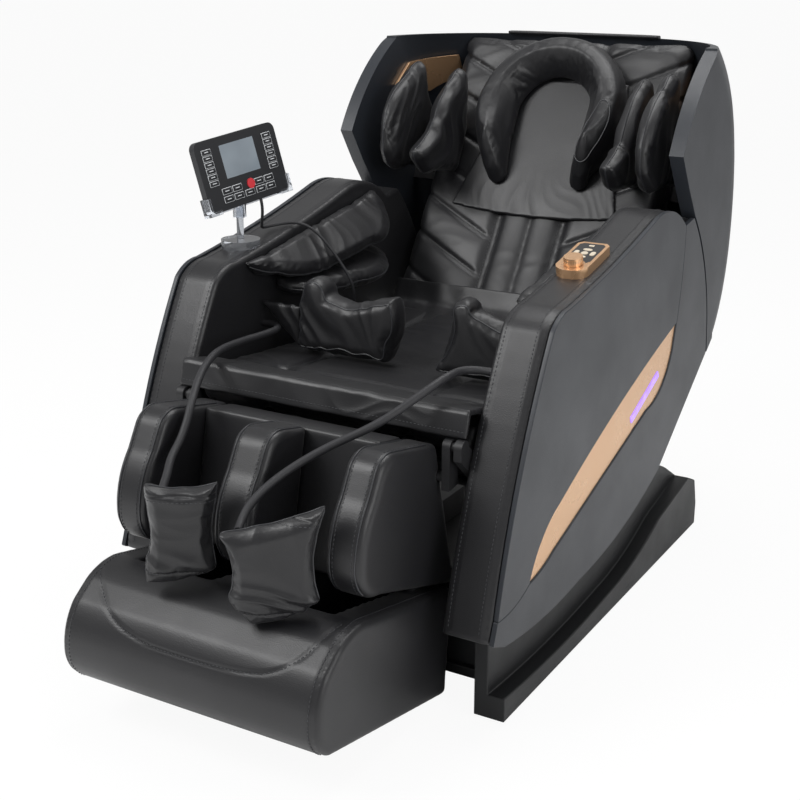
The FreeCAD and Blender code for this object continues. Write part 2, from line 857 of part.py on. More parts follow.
def build_seat_frame():
    """Side plates with the three pivots, cross members, and the motors with their rods."""
    tilt_y, tilt_z = S.at("tilt")
    back_y, back_z = S.at("recline")
    knee_y, knee_z = S.at("knee")
    plate = [
        (knee_y - 14, knee_z - 20), (knee_y - 14, knee_z), ("~", knee_y, knee_z + 14),
        (knee_y + 14, knee_z), (knee_y + 48, S.plate_top), (back_y - 20, S.plate_top),
        ("~", back_y + 22, back_z + 44), (back_y + 48, back_z + 6),
        (tilt_y + 28, tilt_z + 20), ("~", tilt_y + 28, tilt_z - 20), (tilt_y - 6, tilt_z - 30),
        (S.box_y + 100, tilt_z + 55), (S.push_tube_y, S.push_tube_z - 22),
        (knee_y + 62, knee_z - 90),
    ]
    holes = [
        (knee_y, knee_z, S.pin_radius + S.run),
        (back_y, back_z, S.recline_pin_radius + S.run),
    ]
    pieces = []
    for side, word in ((1, "left"), (-1, "right")):
        pieces.append(sided(f"seat_plate_{word}", side, plate, S.plate_inner, S.plate_outer, holes))
        inner = S.bracket_inner if side > 0 else -S.plate_inner
        pieces.append(rod(f"tilt_pin_{word}", "x", inner, S.plate_inner - S.bracket_inner,
                          S.pin_radius, S.at("tilt")))
    pieces.append(rod("push_tube", "x", -S.plate_inner, S.plate_inner * 2, S.push_tube_radius,
                      S.at("push_tube")))
    pieces.append(block(
        "motor_wall", (-S.plate_inner, S.motor_wall_y, S.motor_wall_low),
        (S.plate_inner, S.motor_wall_y + S.motor_wall_thick, S.motor_wall_high)))
    node("seat_frame", group("seat_frame", *pieces))

    knee = S.spot("knee")
    pin, travel, rise = swing(knee, float(S.crank_radius), float(S.knee_angle))
    axis_z = pin.z - rise / 2
    foot = Vector(float(S.crank_x), float(S.motor_wall_y), axis_z)
    ahead = Vector(0, -1, 0)
    body = motor("knee_motor", foot, ahead, 0, float(S.knee_motor_long), float(S.motor_base))
    node("leg_motor", body)
    node("leg_rod", slotted_rod(
        "leg_rod", foot, ahead, 0, float(S.knee_motor_long), foot.y - pin.y, rise / 2,
        float(S.crank_pin_radius), S.crank_x, travel + 20))

    hinge = S.spot("recline")
    pin, travel, rise = swing(hinge, float(S.lever_radius), float(S.recline_angle))
    axis_z = pin.z - rise / 2
    foot = Vector(float(S.lever_x), float(S.motor_wall_y + S.motor_wall_thick), axis_z)
    behind = Vector(0, 1, 0)
    node("recline_motor", motor("recline_drive", foot, behind, 0, float(S.recline_motor_long),
                                float(S.motor_base)))
    node("recline_rod", slotted_rod(
        "recline_rod", foot, behind, 0, float(S.recline_motor_long), pin.y - foot.y, rise / 2,
        float(S.lever_pin_radius), S.lever_x,
        float(S.recline_motor_long - S.motor_base) - travel - 5))

    push = S.spot("push_tube")
    tilt = S.spot("tilt")
    raised = tilt + side_turn(push - tilt, float(S.tilt_angle))
    direction = (raised - push).normalize()
    radius = (push - tilt).Length
    rise = radius * (1 - math.cos(math.radians(float(S.tilt_angle)) / 2))
    across = Vector(1, 0, 0)
    bulge = direction.cross(across)
    middle = tilt + side_turn(push - tilt, float(S.tilt_angle) / 2) - (push + raised) / 2
    if bulge.dot(middle) < 0:
        rise = -rise
    line = push + bulge * (rise / 2)
    drop = (line.z - float(S.tilt_motor_low)) / direction.z
    foot = line - direction * drop
    lift = motor("tilt_drive", foot, direction, 0, float(S.tilt_motor_long), float(S.motor_base))
    saddle = block(
        "tilt_saddle", (-S.motor_radius - 6, foot.y - 26, S.tray_z + S.tray_thick),
        (S.motor_radius + 6, foot.y + 26, S.tilt_motor_low + 10))
    node("tilt_motor", fuse("tilt_motor", saddle, lift))
    node("tilt_rod", slotted_rod(
        "tilt_rod", foot, direction, 0, float(S.tilt_motor_long), drop, abs(rise) / 2,
        float(S.push_tube_radius), 0, 185.0))


def heel_arc(clear=0.0):
    """The foot of the seam between arm and shell: an arc about the hinge that the back turns on.

    It runs from the foot of the wing down to the rear edge of the side panel, so the shell slides
    past the arm as it reclines.
    """
    hinge, top = S.spot("recline"), S.spot("wing_foot")
    radius = (top - hinge).Length + float(clear)
    heel, run = S.spot("panel_heel"), S.spot("panel_hip") - S.spot("panel_heel")
    along, square = (heel - hinge).dot(run), run.dot(run)
    share = (-along - math.sqrt(
        along ** 2 - square * ((heel - hinge).dot(heel - hinge) - radius ** 2))) / square
    foot = heel + run * share
    angles = [math.atan2(spot.z - hinge.z, spot.y - hinge.y) for spot in (top, foot)]
    angles.insert(1, sum(angles) / 2)
    return [
        (hinge.y + radius * math.cos(angle), hinge.z + radius * math.sin(angle))
        for angle in angles
    ]


def heel_points():
    top, middle, foot = heel_arc()
    return [top, ("~", *middle), foot]


def arm_side():
    return [
        *outline("arm_toe", "~arm_shin", "arm_knee", "~arm_bend", "arm_brow", "~arm_rest",
                 "arm_elbow", "~arm_crown", "arm_back", "wing_head", "~wing_waist"),
        *heel_points(),
        *outline("~panel_hip", "panel_rear", "~panel_belly", "panel_low", "~panel_shin",
                 "panel_toe"),
    ]


def build_arms():
    """Padded arms with an inner wall and a band, hollow inside, and the moulded side panels."""
    band = S.arm_band
    hollow = [
        (S.arm_toe_y + 30, S.panel_low_z - 60), (S.arm_toe_y + 26, S.arm_toe_z + 20),
        ("~", S.arm_shin_y + band, S.arm_shin_z - 4), (S.arm_knee_y + 14, S.arm_knee_z - 16),
        (S.arm_brow_y + 4, S.arm_brow_z - band),
        ("~", S.arm_rest_y + 2, S.arm_rest_z - band), (S.arm_elbow_y + 4, S.arm_elbow_z - band),
        (S.arm_back_y - 14, S.arm_back_z - band - 6), (S.wing_head_y - 18, S.wing_head_z - 24),
        ("~", S.wing_waist_y - band, S.wing_waist_z - 8), (S.wing_foot_y - 20, S.wing_foot_z - 6),
        (S.panel_hip_y + 30, S.panel_hip_z - 40), (S.panel_rear_y, S.panel_low_z - 60),
    ]
    panel_inner = S.half_width - S.skin
    arms = {}
    for side, word in ((1, "left"), (-1, "right")):
        name = f"arm_pad_{word}"
        full = cushion(name + "_full", "YZ", arm_side(), [
            (side * place, inset)
            for place, inset in padded(S.arm_inner, panel_inner, float(S.arm_round))
        ])
        core = sided(name + "_hollow", side, hollow, S.arm_inner + S.arm_wall, panel_inner + 10)
        arms[word] = node(name, cut(name, full, core))

    upper = outline(
        "panel_tip", "~arm_shin", "arm_knee", "~arm_bend", "arm_brow", "~arm_rest", "arm_elbow",
        "~arm_crown", "arm_back", "~seam_mid", "blade_top", "~blade_rise", "blade_low",
        "~blade_bow", "blade_tip", "~toe_seam")
    lower = [
        *outline("panel_tip", "~toe_seam", "blade_tip", "~blade_lip", "blade_keel", "blade_under",
                 "~blade_chin", "blade_side", "blade_top", "~seam_mid", "arm_back", "wing_head",
                 "~wing_waist"),
        *heel_points(),
        *outline("~panel_hip", "panel_rear", "~panel_belly", "panel_low", "~panel_shin",
                 "panel_toe", "arm_toe"),
    ]
    blade = outline(
        "blade_tip", "~blade_bow", "blade_low", "~blade_rise", "blade_top", "blade_side",
        "~blade_chin", "blade_under", "blade_keel", "~blade_lip")
    slope = (S.spot("light_high") - S.spot("light_low")).normalize()
    rise = Vector(0, -slope.z, slope.y) * float(S.light_half)
    low, high = S.spot("light_low"), S.spot("light_high")
    strip = [
        (corner.y, corner.z)
        for corner in (low - rise, high - rise, high + rise, low + rise)
    ]
    blades, lights, lowers = [], [], []
    blade_face = S.half_width - S.skin + S.blade_depth
    for side, word in ((1, "left"), (-1, "right")):
        node(f"arm_panel_{word}", sided(f"arm_panel_{word}", side, upper, panel_inner, S.half_width))
        lowers.append(sided(f"lower_panel_{word}", side, lower, panel_inner, S.half_width))
        plate = sided(f"blade_{word}", side, blade, panel_inner, blade_face)
        groove = sided(f"light_groove_{word}", side, strip, blade_face - 3, blade_face + 5)
        blades.append(cut(f"blade_grooved_{word}", plate, groove))
        lights.append(sided(f"light_{word}", side, strip, blade_face - 3,
                            blade_face + S.light_proud))
    node("lower_panels", group("lower_panels", *lowers))
    node("trim_blades", group("trim_blades", *blades))
    node("trim_lights", group("trim_lights", *lights))
    return arms


def build_seat():
    """Seat cushion with its front roll, and the curtain that hangs over the roll."""
    side = outline(
        "roll_foot", "~roll_front", "roll_brow", "~roll_top", "roll_back", "~seat_dip",
        "seat_rear", "seat_heel")
    seam = float(S.seat_seam)
    node("seat_cushion", cushion("seat_cushion", "YZ", side, padded(
        -S.seat_half, S.seat_half, 10.0, ((-seam, 7.0), (seam, 7.0)), float(S.seat_crown))))
    thick = S.curtain_thick
    seat_y, seat_z = S.at("curtain_seat")
    lip_y, lip_z = S.at("curtain_lip")
    hem_y, hem_z = S.at("curtain_hem")
    curtain = [
        (seat_y, seat_z), (seat_y, seat_z + thick), (lip_y, lip_z), (lip_y - thick, lip_z - thick),
        (hem_y - thick, hem_z), (hem_y, hem_z), (lip_y + 1, lip_z - thick * 1.6),
    ]
    node("seat_curtain", slab("seat_curtain", "YZ", curtain, -S.curtain_half, S.curtain_half))


HIP_BAG_RIGHT = (
    (-205, 516), (-209, 600), (-200, 648), ("~", -176, 668), (-136, 640), (-90, 628), (14, 648),
    ("~", 24, 600), (14, 560), (-5, 516),
)
HIP_BAG_LEFT = (
    (100, 516), ("~", 120, 572), (134, 640), ("~", 154, 668), (182, 652), (236, 632), (299.4, 610),
    (299.4, 516),
)
HIP_GUSSET = ((-299.4, 602), (-205, 604), (-207, 520))


def build_airbags():
    """Bags that press on the hips, and two leaves on each arm that close over the forearm."""
    thick = float(S.hip_thick)
    swell = ((0, 14), (0.12, 5), (0.3, 0), (0.7, 0), (0.88, 5), (1, 14))
    bags = []
    for word, points in (("left", HIP_BAG_LEFT), ("right", HIP_BAG_RIGHT)):
        bags.append(cushion(f"hip_bag_{word}", "XZ", points, [
            (float(S.hip_y) + thick * step, inset * 0.8) for step, inset in swell]))
    bags.append(slab("hip_gusset", "XZ", HIP_GUSSET, S.hip_y + 18, S.hip_y + 26))
    node("hip_airbags", group("hip_airbags", *bags))

    thick = float(S.leaf_thick)
    root = float(S.arm_inner - S.gap)

    def lower(reach):
        return [
            (root + 12, -84), (root - 0.37 * reach, -84), ("~", root - 0.8 * reach, -30),
            (root - reach, 90), ("~", root - 0.93 * reach, 220), (root - 0.33 * reach, 286),
            (root + 12, 290),
        ]

    def upper(reach):
        return [
            (root + 24, -190), ("~", root - 0.59 * reach, -90), (root - 0.95 * reach, 60),
            (root - reach, 170), ("~", root - 0.82 * reach, 262), (root + 24, 296),
        ]

    slope = Rotation(Vector(1, 0, 0), float(S.leaf_slope))
    leaves = []
    between = block("leaf_room", (-root, -400, 400), (root, 500, 1000))
    for side, word in ((1, "left"), (-1, "right")):
        low_reach = S.leaf_low_left if side > 0 else S.leaf_low_right
        high_reach = S.leaf_high_left if side > 0 else S.leaf_high_right
        for tier, points, height, droop, turn in (
                ("lower", lower(float(low_reach)), S.leaf_low, S.leaf_low_droop, Rotation()),
                ("upper", upper(float(high_reach)), S.leaf_high, S.leaf_high_droop, slope)):
            leaf = cushion(f"arm_leaf_{word}_{tier}", "XY", flipped(points, side), [
                (thick * step, inset) for step, inset in swell])
            hang = turn.multiply(Rotation(Vector(0, 1, 0), -side * float(droop)))
            seam = Vector(side * root, 0, 0)
            spot = seam + Vector(0, 0, float(height)) - hang.multVec(seam)
            leaf = placed(leaf, spot, hang)
            leaves.append(common(f"arm_leaf_{word}_{tier}_sewn", leaf, between))
    node("arm_airbags", group("arm_airbags", *leaves))


def flipped(points, side):
    """The outline on the left (side 1) or its mirror image on the right (side -1)."""
    return [("~", point[1] * side, point[2]) if point[0] == "~" else (point[0] * side, point[1])
            for point in points]


def build_controller(arm):
    """A two-layer pod on the left arm with a dial and six keys, each key on its own spring."""
    turn = Rotation(Vector(1, 0, 0), float(S.pod_slope))
    spot = Vector(float(S.half_width - S.pod_inset), float(S.pod_y), float(S.pod_base))
    half_w, half_l = S.pod_wide / 2, S.pod_long / 2
    nose = [
        (-half_w, -half_l + 22), ("~", -half_w + 9, -half_l + 7), (-half_w + 24, -half_l),
        (half_w - 24, -half_l), ("~", half_w - 9, -half_l + 7), (half_w, -half_l + 22),
        (half_w, half_l - 8), (half_w - 8, half_l), (-half_w + 8, half_l), (-half_w, half_l - 8),
    ]
    fascia_z = S.pod_high
    shell = slab("pod_shell", "XY", nose, -12, fascia_z)
    knob_y = -S.knob_back
    spindle = rod("knob_hole", "z", fascia_z - 10, 20, 3 + S.gap, (0, knob_y))
    pockets = [spindle]
    keys = {}
    ring = float(S.petal_ring)
    floor = fascia_z - S.key_high - S.key_travel
    for word, (u, v) in {
        "back": (0, ring), "front": (0, -ring), "left": (ring, 0), "right": (-ring, 0),
    }.items():
        along_x = v == 0
        long = S.petal_long / 2 if not along_x else S.petal_wide / 2
        wide = S.petal_wide / 2 if not along_x else S.petal_long / 2
        keys[word] = petal(f"key_{word}", u, S.key_centre + v, long, wide, 0,
                                   floor + S.key_travel, fascia_z + S.key_proud)
        pockets.append(petal(f"pocket_{word}", u, S.key_centre + v, long, wide, S.key_play,
                             floor - S.gap, fascia_z + 5))
    keys["start"] = rod("key_start", "z", floor + S.key_travel, S.key_high + S.key_proud,
                        S.centre_radius, (0, S.key_centre))
    pockets.append(rod("pocket_start", "z", floor - S.gap, 20, S.centre_radius + S.key_play,
                       (0, S.key_centre)))
    keys["heat"] = block("key_heat", (-5, S.small_back - 2.5, floor + S.key_travel),
                         (5, S.small_back + 2.5, fascia_z + S.key_proud))
    pockets.append(block("pocket_heat", (-5 - S.key_play, S.small_back - 2.5 - S.key_play,
                                         floor - S.gap),
                         (5 + S.key_play, S.small_back + 2.5 + S.key_play, fascia_z + 9)))
    shell = placed(cut("pod_pocketed", shell, *pockets), spot, turn)
    node("controller_housing", cut("controller_housing", shell, arm))
    grip = rod("knob_grip", "z", fascia_z + 0.4, S.knob_high, S.knob_radius, (0, knob_y))
    stem = rod("knob_stem", "z", fascia_z - 9, 10, 3, (0, knob_y))
    knob = fuse("controller_knob", grip, stem)
    node("controller_knob", placed(knob, spot, turn))
    for word, key in keys.items():
        node(f"key_{word}", placed(group(f"key_{word}_set", key), spot, turn))


def petal(name, u, v, half_u, half_v, grow, low, high):
    """A key with rounded ends, seen from above."""
    half_u, half_v = sized(half_u) + grow, sized(half_v) + grow
    points = [
        (u - half_u, v - half_v * 0.4), ("~", u, v - half_v), (u + half_u, v - half_v * 0.4),
        (u + half_u, v + half_v * 0.4), ("~", u, v + half_v), (u - half_u, v + half_v * 0.4),
    ]
    points = [(p[0], sized(p[1]), sized(p[2])) if p[0] == "~" else (sized(p[0]), sized(p[1]))
              for p in points]
    return slab(name + "_block", "XY", points, low, high)


def build_tablet(arm):
    """A clear stand on the right arm, a swivelling cradle, and the touch tablet in it."""
    x, y = S.stand_inset - S.half_width, S.stand_y
    disc = rod("stand_disc", "z", S.stand_base - 30, S.stand_foot + 34, S.stand_radius, (x, y))
    disc = cut("stand_seat", disc, arm)
    post = rod("stand_post", "z", S.stand_base + S.stand_foot, S.post_top - S.stand_base
               - S.stand_foot, S.post_radius, (x, y))
    node("tablet_stand", fuse("tablet_stand", disc, post))
    centre = Vector(float(S.tablet_inset - S.half_width), float(S.tablet_y), float(S.tablet_z))
    turn = Rotation(Vector(0, 0, 1), float(S.tablet_turn)).multiply(
        Rotation(Vector(1, 0, 0), -float(S.tablet_lean))).multiply(
        Rotation(Vector(0, 1, 0), float(S.tablet_roll)))
    wide, high, thick = S.tablet_wide / 2, S.tablet_high / 2, S.tablet_thick
    case = slab("tablet_block", "XZ", rounded(wide, high, S.tablet_round), 0, thick)
    screen_w, screen_h = S.screen_wide / 2, S.screen_high / 2
    recess = block("screen_recess", (-screen_w, -1, S.screen_up - screen_h),
                   (screen_w, 2, S.screen_up + screen_h))
    hole = rod("power_pocket", "y", -1, 5, S.power_radius + S.key_play, (S.power_side, -S.power_drop))
    case = cut("tablet_case_cut", case, recess, hole)
    node("tablet_case", placed(case, centre, turn))
    pane = block("screen_pane", (-screen_w, 0, S.screen_up - screen_h),
                 (screen_w, 2, S.screen_up + screen_h))
    node("tablet_screen", placed(group("tablet_screen", pane), centre, turn))
    button = rod("power_cap", "y", -1.5, 4.3, S.power_radius, (S.power_side, -S.power_drop))
    node("tablet_power", placed(group("tablet_power", button), centre, turn))
    wall = S.cradle_wall
    plate = block("cradle_plate", (-wide - wall, thick, -high - wall),
                  (wide + wall, thick + wall, -high + S.clip_high))
    clips = []
    for word, low, high_x in (("right", -wide - wall, -wide + S.clip_wide),
                              ("left", wide - S.clip_wide, wide + wall)):
        clip = block(f"clip_{word}", (low, -wall, -high - wall), (high_x, thick, -high + S.clip_high))
        edge = S.clip_wide * 0.3
        start, end = (low + edge, high_x + 1) if word == "right" else (low - 1, high_x - edge)
        window = block(f"clip_window_{word}", (start, -wall - 1, -high - wall + edge),
                       (end, 0, -high + S.clip_high + 1))
        clips.append(cut(f"clip_open_{word}", clip, window))
    cradle = placed(fuse("cradle_tray", plate, *clips), centre, turn)
    post_top = S.post_top
    cap = rod("cradle_cap", "z", post_top - 24, 36, S.post_radius + 6, (x, y))
    bore = rod("cradle_bore", "z", post_top - 25, 25 + S.gap, S.post_radius + S.run, (x, y))
    rear = centre + turn.multVec(Vector(0, float(thick) + 2, -20))
    hub = Vector(float(x), float(y), float(post_top) + 4)
    reach = rear - hub
    neck = Part.makeCylinder(7, reach.Length, hub, reach.normalize())
    neck = solid("cradle_neck", neck)
    whole = fuse("cradle_whole", cradle, cap, neck)
    room = slab("tablet_room", "XZ", rounded(wide + S.key_play, high + S.key_play, S.tablet_round),
                0, thick)
    front = block("tablet_front", (-wide + 30, -30, -high - 20), (wide - 30, thick, high))
    clear = placed(fuse("tablet_clear", room, front), centre, turn)
    node("tablet_cradle", cut("tablet_cradle", whole, clear, bore))


SHELL_LEVELS = (
    # height, half width, rear and corner radius of the shell seen from above
    (448, 400, 705, 140), (560, 400, 768, 138), (760, 400, 788, 140), (940, 398, 776, 175),
    (1076, 395, 748, 285),
)


def plan(half, rear, corner, front):
    """The shell from above: straight sides, rounded rear corners, open at the front."""
    bend = corner * (1 - math.sqrt(0.5))
    return [
        (-half, front), (-half, rear - corner), ("~", -half + bend, rear - bend),
        (-half + corner, rear), (half - corner, rear), ("~", half - bend, rear - bend),
        (half, rear - corner), (half, front),
    ]


def shell_loft(side, back, low, high):
    """The back shell's body, drawn in by side and back, between two heights."""
    stretch = (low, *(level[0] for level in SHELL_LEVELS[1:-1]), high)
    widest = max(level[1] for level in SHELL_LEVELS)
    wires = []
    for z, (level, half, rear, corner) in zip(stretch, SHELL_LEVELS):
        half = float(S.half_width) - (widest - half) - side
        outline_here = plan(half, rear - back, corner - (side + back) / 2, 250.0)
        wires.append(ring(outline_here, z, LAY["XY"]))
    return Part.makeLoft(wires, True, False)


def build_back():
    """Back shell with its wings, pad, track frame, pillow, straps, bags and speaker panels."""
    side, back = float(S.shell_side), float(S.shell_back)
    outer = solid("shell_outer", shell_loft(0.0, 0.0, float(S.shell_low), float(S.top_z)))
    inner = solid("shell_inner", shell_loft(side, back, float(S.shell_low) + 14,
                                            float(S.top_z) + 30))
    clear = S.wing_clear
    arc_top, arc_middle, arc_foot = heel_arc(clear)
    heel_y, heel_z = S.at("panel_heel")
    hip_y, hip_z = S.at("panel_hip")
    heels = [
        sided(f"shell_heel_{word}", turn, [
            (hip_y, hip_z), (heel_y, heel_z), (heel_y, heel_z + 10), (hip_y, heel_z + 10)],
            S.half_width - S.shell_side, S.half_width)
        for word, turn in (("left", 1), ("right", -1))
    ]
    outer = fuse("shell_with_heels", outer, *heels)
    front = [
        (100, 300), (arc_foot[0], 300), arc_foot, ("~", *arc_middle), arc_top,
        ("~", S.wing_waist_y + clear, S.wing_waist_z + clear),
        (S.wing_head_y + clear, S.wing_head_z + clear),
        *outline("wing_cheek", "wing_vertex", "~wing_brow", "wing_top"),
        (S.wing_top_y, 1300), (100, 1300),
    ]
    trim = slab("shell_front_trim", "YZ", front, -500, 500)
    hollow = cut("shell_hollow", outer, inner)
    node("back_shell", cut("back_shell", hollow, trim))

    pad = outline("pad_toe", "~pad_waist", "pad_head", "pad_crown", "~pad_spine", "pad_heel")
    strip = float(S.pad_strip)
    full = cushion("back_pad_full", "YZ", pad, padded(
        -S.pad_half, S.pad_half, 10.0, ((-strip, 8.0), (0.0, 4.0), (strip, 8.0)),
        float(S.pad_crown_rise)))
    near = float(S.gap)
    room = solid("pad_room", shell_loft(side + near, back + near, float(S.shell_low) + 5,
                                        float(S.top_z) + 30))
    node("back_pad", common("back_pad", full, room))

    foot = S.spot("track_foot")
    along = track_direction()
    out = Vector(0, along.z, -along.y)
    top = foot + along * float(S.track_long)
    deep = out * float(S.rail_thick)
    rail = [(spot.y, spot.z) for spot in (foot, top, top + deep, foot + deep)]
    hinge_y, hinge_z = S.at("recline")
    hinge = S.spot("recline")
    lever, travel, rise = swing(hinge, float(S.lever_radius), float(S.recline_angle))
    arm = [
        (hinge_y - 26, hinge_z), ("~", hinge_y - 14, hinge_z + 20), (hinge_y + 14, hinge_z + 20),
        (foot.y, foot.z + 18), (foot.y + 34, foot.z - 8), (hinge_y + 70, hinge_z - 12),
        (lever.y + 20, lever.z + 6), ("~", lever.y + 2, lever.z - 17), (lever.y - 17, lever.z),
    ]
    pieces = []
    plate_inner = S.arm_plate_outer - S.arm_plate_thick
    for word, turn in (("left", 1), ("right", -1)):
        pieces.append(sided(f"track_{word}", turn, rail, S.rail_half - S.rail_wide, S.rail_half))
    arms = [
        sided(f"recline_arm_{word}", turn, arm, plate_inner, S.arm_plate_outer)
        for word, turn in (("left", 1), ("right", -1))
    ]
    pins = [
        rod(f"recline_pin_{word}", "x", start, S.plate_outer - S.arm_plate_outer - S.gap,
            S.recline_pin_radius, S.at("recline"))
        for word, start in (("left", S.arm_plate_outer), ("right", -S.plate_outer + S.gap))
    ]
    lever_bar = rod("lever_bar", "x", -plate_inner, plate_inner * 2, S.lever_pin_radius,
                    (lever.y, lever.z))
    bars = []
    for word, place in (("low", 18), ("high", float(S.track_long) - 18)):
        spot = foot + along * place + out * (float(S.rail_thick) / 2)
        bars.append(rod(f"track_bar_{word}", "x", -(S.rail_half - S.rail_wide),
                        (S.rail_half - S.rail_wide) * 2, 11, (spot.y, spot.z)))
    # A flat bar on each track carries the shell by its side wall.
    low, high = foot + along * float(S.shell_bar), foot + along * float(S.shell_bar + 40)
    flat = [(spot.y, spot.z) for spot in (
        low + deep * 0.4, high + deep * 0.4, high + deep * 0.6, low + deep * 0.6)]
    carriers = [
        common(f"shell_bar_{word}",
               sided(f"shell_bar_long_{word}", turn, flat, S.rail_half - 5, S.half_width), room)
        for word, turn in (("left", 1), ("right", -1))
    ]
    weld = fuse("back_weld", *pieces, *arms, *bars, *carriers)
    node("back_frame", group("back_frame", weld, lever_bar, *pins))
    build_carriage(foot, along, out)
    build_pillow()

    top_z = float(S.top_z)
    panel = [(507, top_z - 109), (567, top_z - 62), (748, top_z - 46), (772, top_z - 72),
             (655, top_z - 136)]
    window = slab("speaker_window", "YZ", panel, -400, 400)
    skin = solid("speaker_skin", shell_loft(side + 0.3, back + 0.3, 500.0, 1080.0).cut(
        shell_loft(side + 6.3, back + 6.3, 500.0, 1080.0)))
    rear_gap = block("speaker_gap", (-300, 300, 800), (300, 900, 1200))
    node("speaker_panels", cut("speaker_panels", common("speaker_cut", skin, window), rear_gap))

    thick = float(S.shoulder_thick)
    edges = ((0, 13), (0.25, 4), (0.5, 0), (0.75, 4), (1, 13))
    proud = float(S.pad_crown_rise + S.gap)
    low, middle, high = (pad_front(z, proud) for z in (772.0, 815.0, 860.0))
    shapes = (
        (S.shoulder_inner, [(345, 842), (419, 888), ("~", 455, 938), (494, 977), (545, 1004),
                            ("~", 562, 1008), (580, 990), ("~", 590, 940), (high.y, high.z),
                            ("~", middle.y, middle.z), (low.y, low.z), (440, 782),
                            ("~", 370, 798)]),
        (S.shoulder_outer, [(342, 837), ("~", 358, 928), (425, 990), (478, 1022),
                            ("~", 498, 1029), (524, 1014), ("~", 532, 965), (568, 922),
                            ("~", 594, 880), (604, 800), (596, 776), (443, 787),
                            ("~", 372, 800)]),
    )
    leaves = []
    for turn, word in ((1, "left"), (-1, "right")):
        for tier, (place, points) in enumerate(shapes):
            stations = [(turn * (float(place) + thick * step), inset) for step, inset in edges]
            leaves.append(cushion(f"shoulder_leaf_{word}_{tier}", "YZ", points, stations))
    node("shoulder_airbags", group("shoulder_airbags", *leaves))

    low, top, thick = float(S.shell_low), float(S.top_z), float(S.strap_thick)
    cover = solid("strap_cover", shell_loft(-thick, -thick, low, top + thick + 0.3).cut(
        shell_loft(-0.4, -0.4, low, top + 0.3)))
    band = block("strap_band", (-S.strap_half, S.pad_crown_y + 3, S.top_z - 86),
                 (S.strap_half, 900, S.top_z + 40))
    node("top_strap", common("top_strap", cover, band))


def build_carriage(foot, along, out):
    """The massage carriage between the tracks, and its two rollers on their pins."""
    start = float(S.carriage_start)
    low = foot + along * start
    high = low + along * float(S.carriage_high)
    thick = out * float(S.carriage_thick)
    lift = out * float(S.carriage_lift)
    plate = [(spot.y, spot.z) for spot in (low + lift, high + lift, high + lift + thick,
                                           low + lift + thick)]
    board = slab("carriage_board", "YZ", plate, -(S.carriage_half - 30), S.carriage_half - 30)
    back_line = lift + thick
    shoe = [(spot.y, spot.z) for spot in (low + out * 4, high + out * 4, high + back_line,
                                          low + back_line)]
    pieces = [board]
    for turn, word in ((1, "left"), (-1, "right")):
        pieces.append(sided(f"shoe_{word}", turn, shoe, S.carriage_half - 30,
                            S.rail_half - S.rail_wide - S.gap))
    axle = low + along * (float(S.carriage_high) / 2) + out * float(S.roller_set_back)
    rollers = []
    for turn, word in ((1, "left"), (-1, "right")):
        centre = S.roller_x * turn
        inner = centre - S.roller_wide / 2
        ears = []
        for place in (inner - 12, inner + S.roller_wide + 2):
            ears.append(slab(f"ear_{word}_{len(ears)}", "YZ", [
                (spot.y, spot.z) for spot in (
                    axle - along * 14 - out * 12, axle + along * 14 - out * 12,
                    axle + along * 20 + out * 36, axle - along * 20 + out * 36)
            ], place, place + 10))
        pieces.extend(ears)
        pieces.append(rod(f"roller_pin_{word}", "x", inner - 4, S.roller_wide + 8, S.roller_pin,
                          (axle.y, axle.z)))
        wheel = rod(f"wheel_{word}", "x", inner, S.roller_wide, S.roller_radius,
                    (axle.y, axle.z))
        hole = rod(f"wheel_hole_{word}", "x", inner - 1, S.roller_wide + 2,
                   S.roller_pin + S.run * 4, (axle.y, axle.z))
        rollers.append((word, cut(f"massage_roller_{word}", wheel, hole)))
    node("massage_carriage", fuse("massage_carriage", *pieces))
    for word, roller in rollers:
        node(f"massage_roller_{word}", roller)


def pad_front(z, proud=0.0):
    """A point in front of the back pad's face at this height, along the arc of its side view."""
    toe, waist, head = S.spot("pad_toe"), S.spot("pad_waist"), S.spot("pad_head")
    curve = Part.Arc(toe, waist, head).toShape().Curve
    centre, hollow = curve.Center, waist.y > curve.Center.y
    radius = curve.Radius + (-proud if hollow else proud)
    reach = math.sqrt(radius ** 2 - (z - centre.z) ** 2)
    return Vector(0, centre.y + (reach if hollow else -reach), z)


def horseshoe(half, hollow, tip, bend, lean):
    """An arch from the height bend, on two legs whose tips lean towards each other."""
    wide = half - hollow
    corner = math.sqrt(0.5)
    low, high = half - lean, hollow - lean
    outer = [(half, bend), ("~", half - wide * 0.05 - lean / 4, (tip + bend) / 2),
             (low - wide * 0.24, tip + wide * 0.34), ("~", low - wide * 0.5, tip),
             (high + wide * 0.22, tip + wide * 0.3),
             ("~", hollow + wide * 0.05 - lean / 4, (tip + bend) / 2), (hollow, bend)]
    left = outer + [("~", hollow * corner, bend + hollow * corner), (0, bend + hollow),
                    ("~", -hollow * corner, bend + hollow * corner)]
    right = [(p[0], -p[1], p[2]) if p[0] == "~" else (-p[0], p[1]) for p in outer[::-1]]
    over = [("~", -half * corner, bend + half * corner), (0, bend + half),
            ("~", half * corner, bend + half * corner)]
    return left + right + over


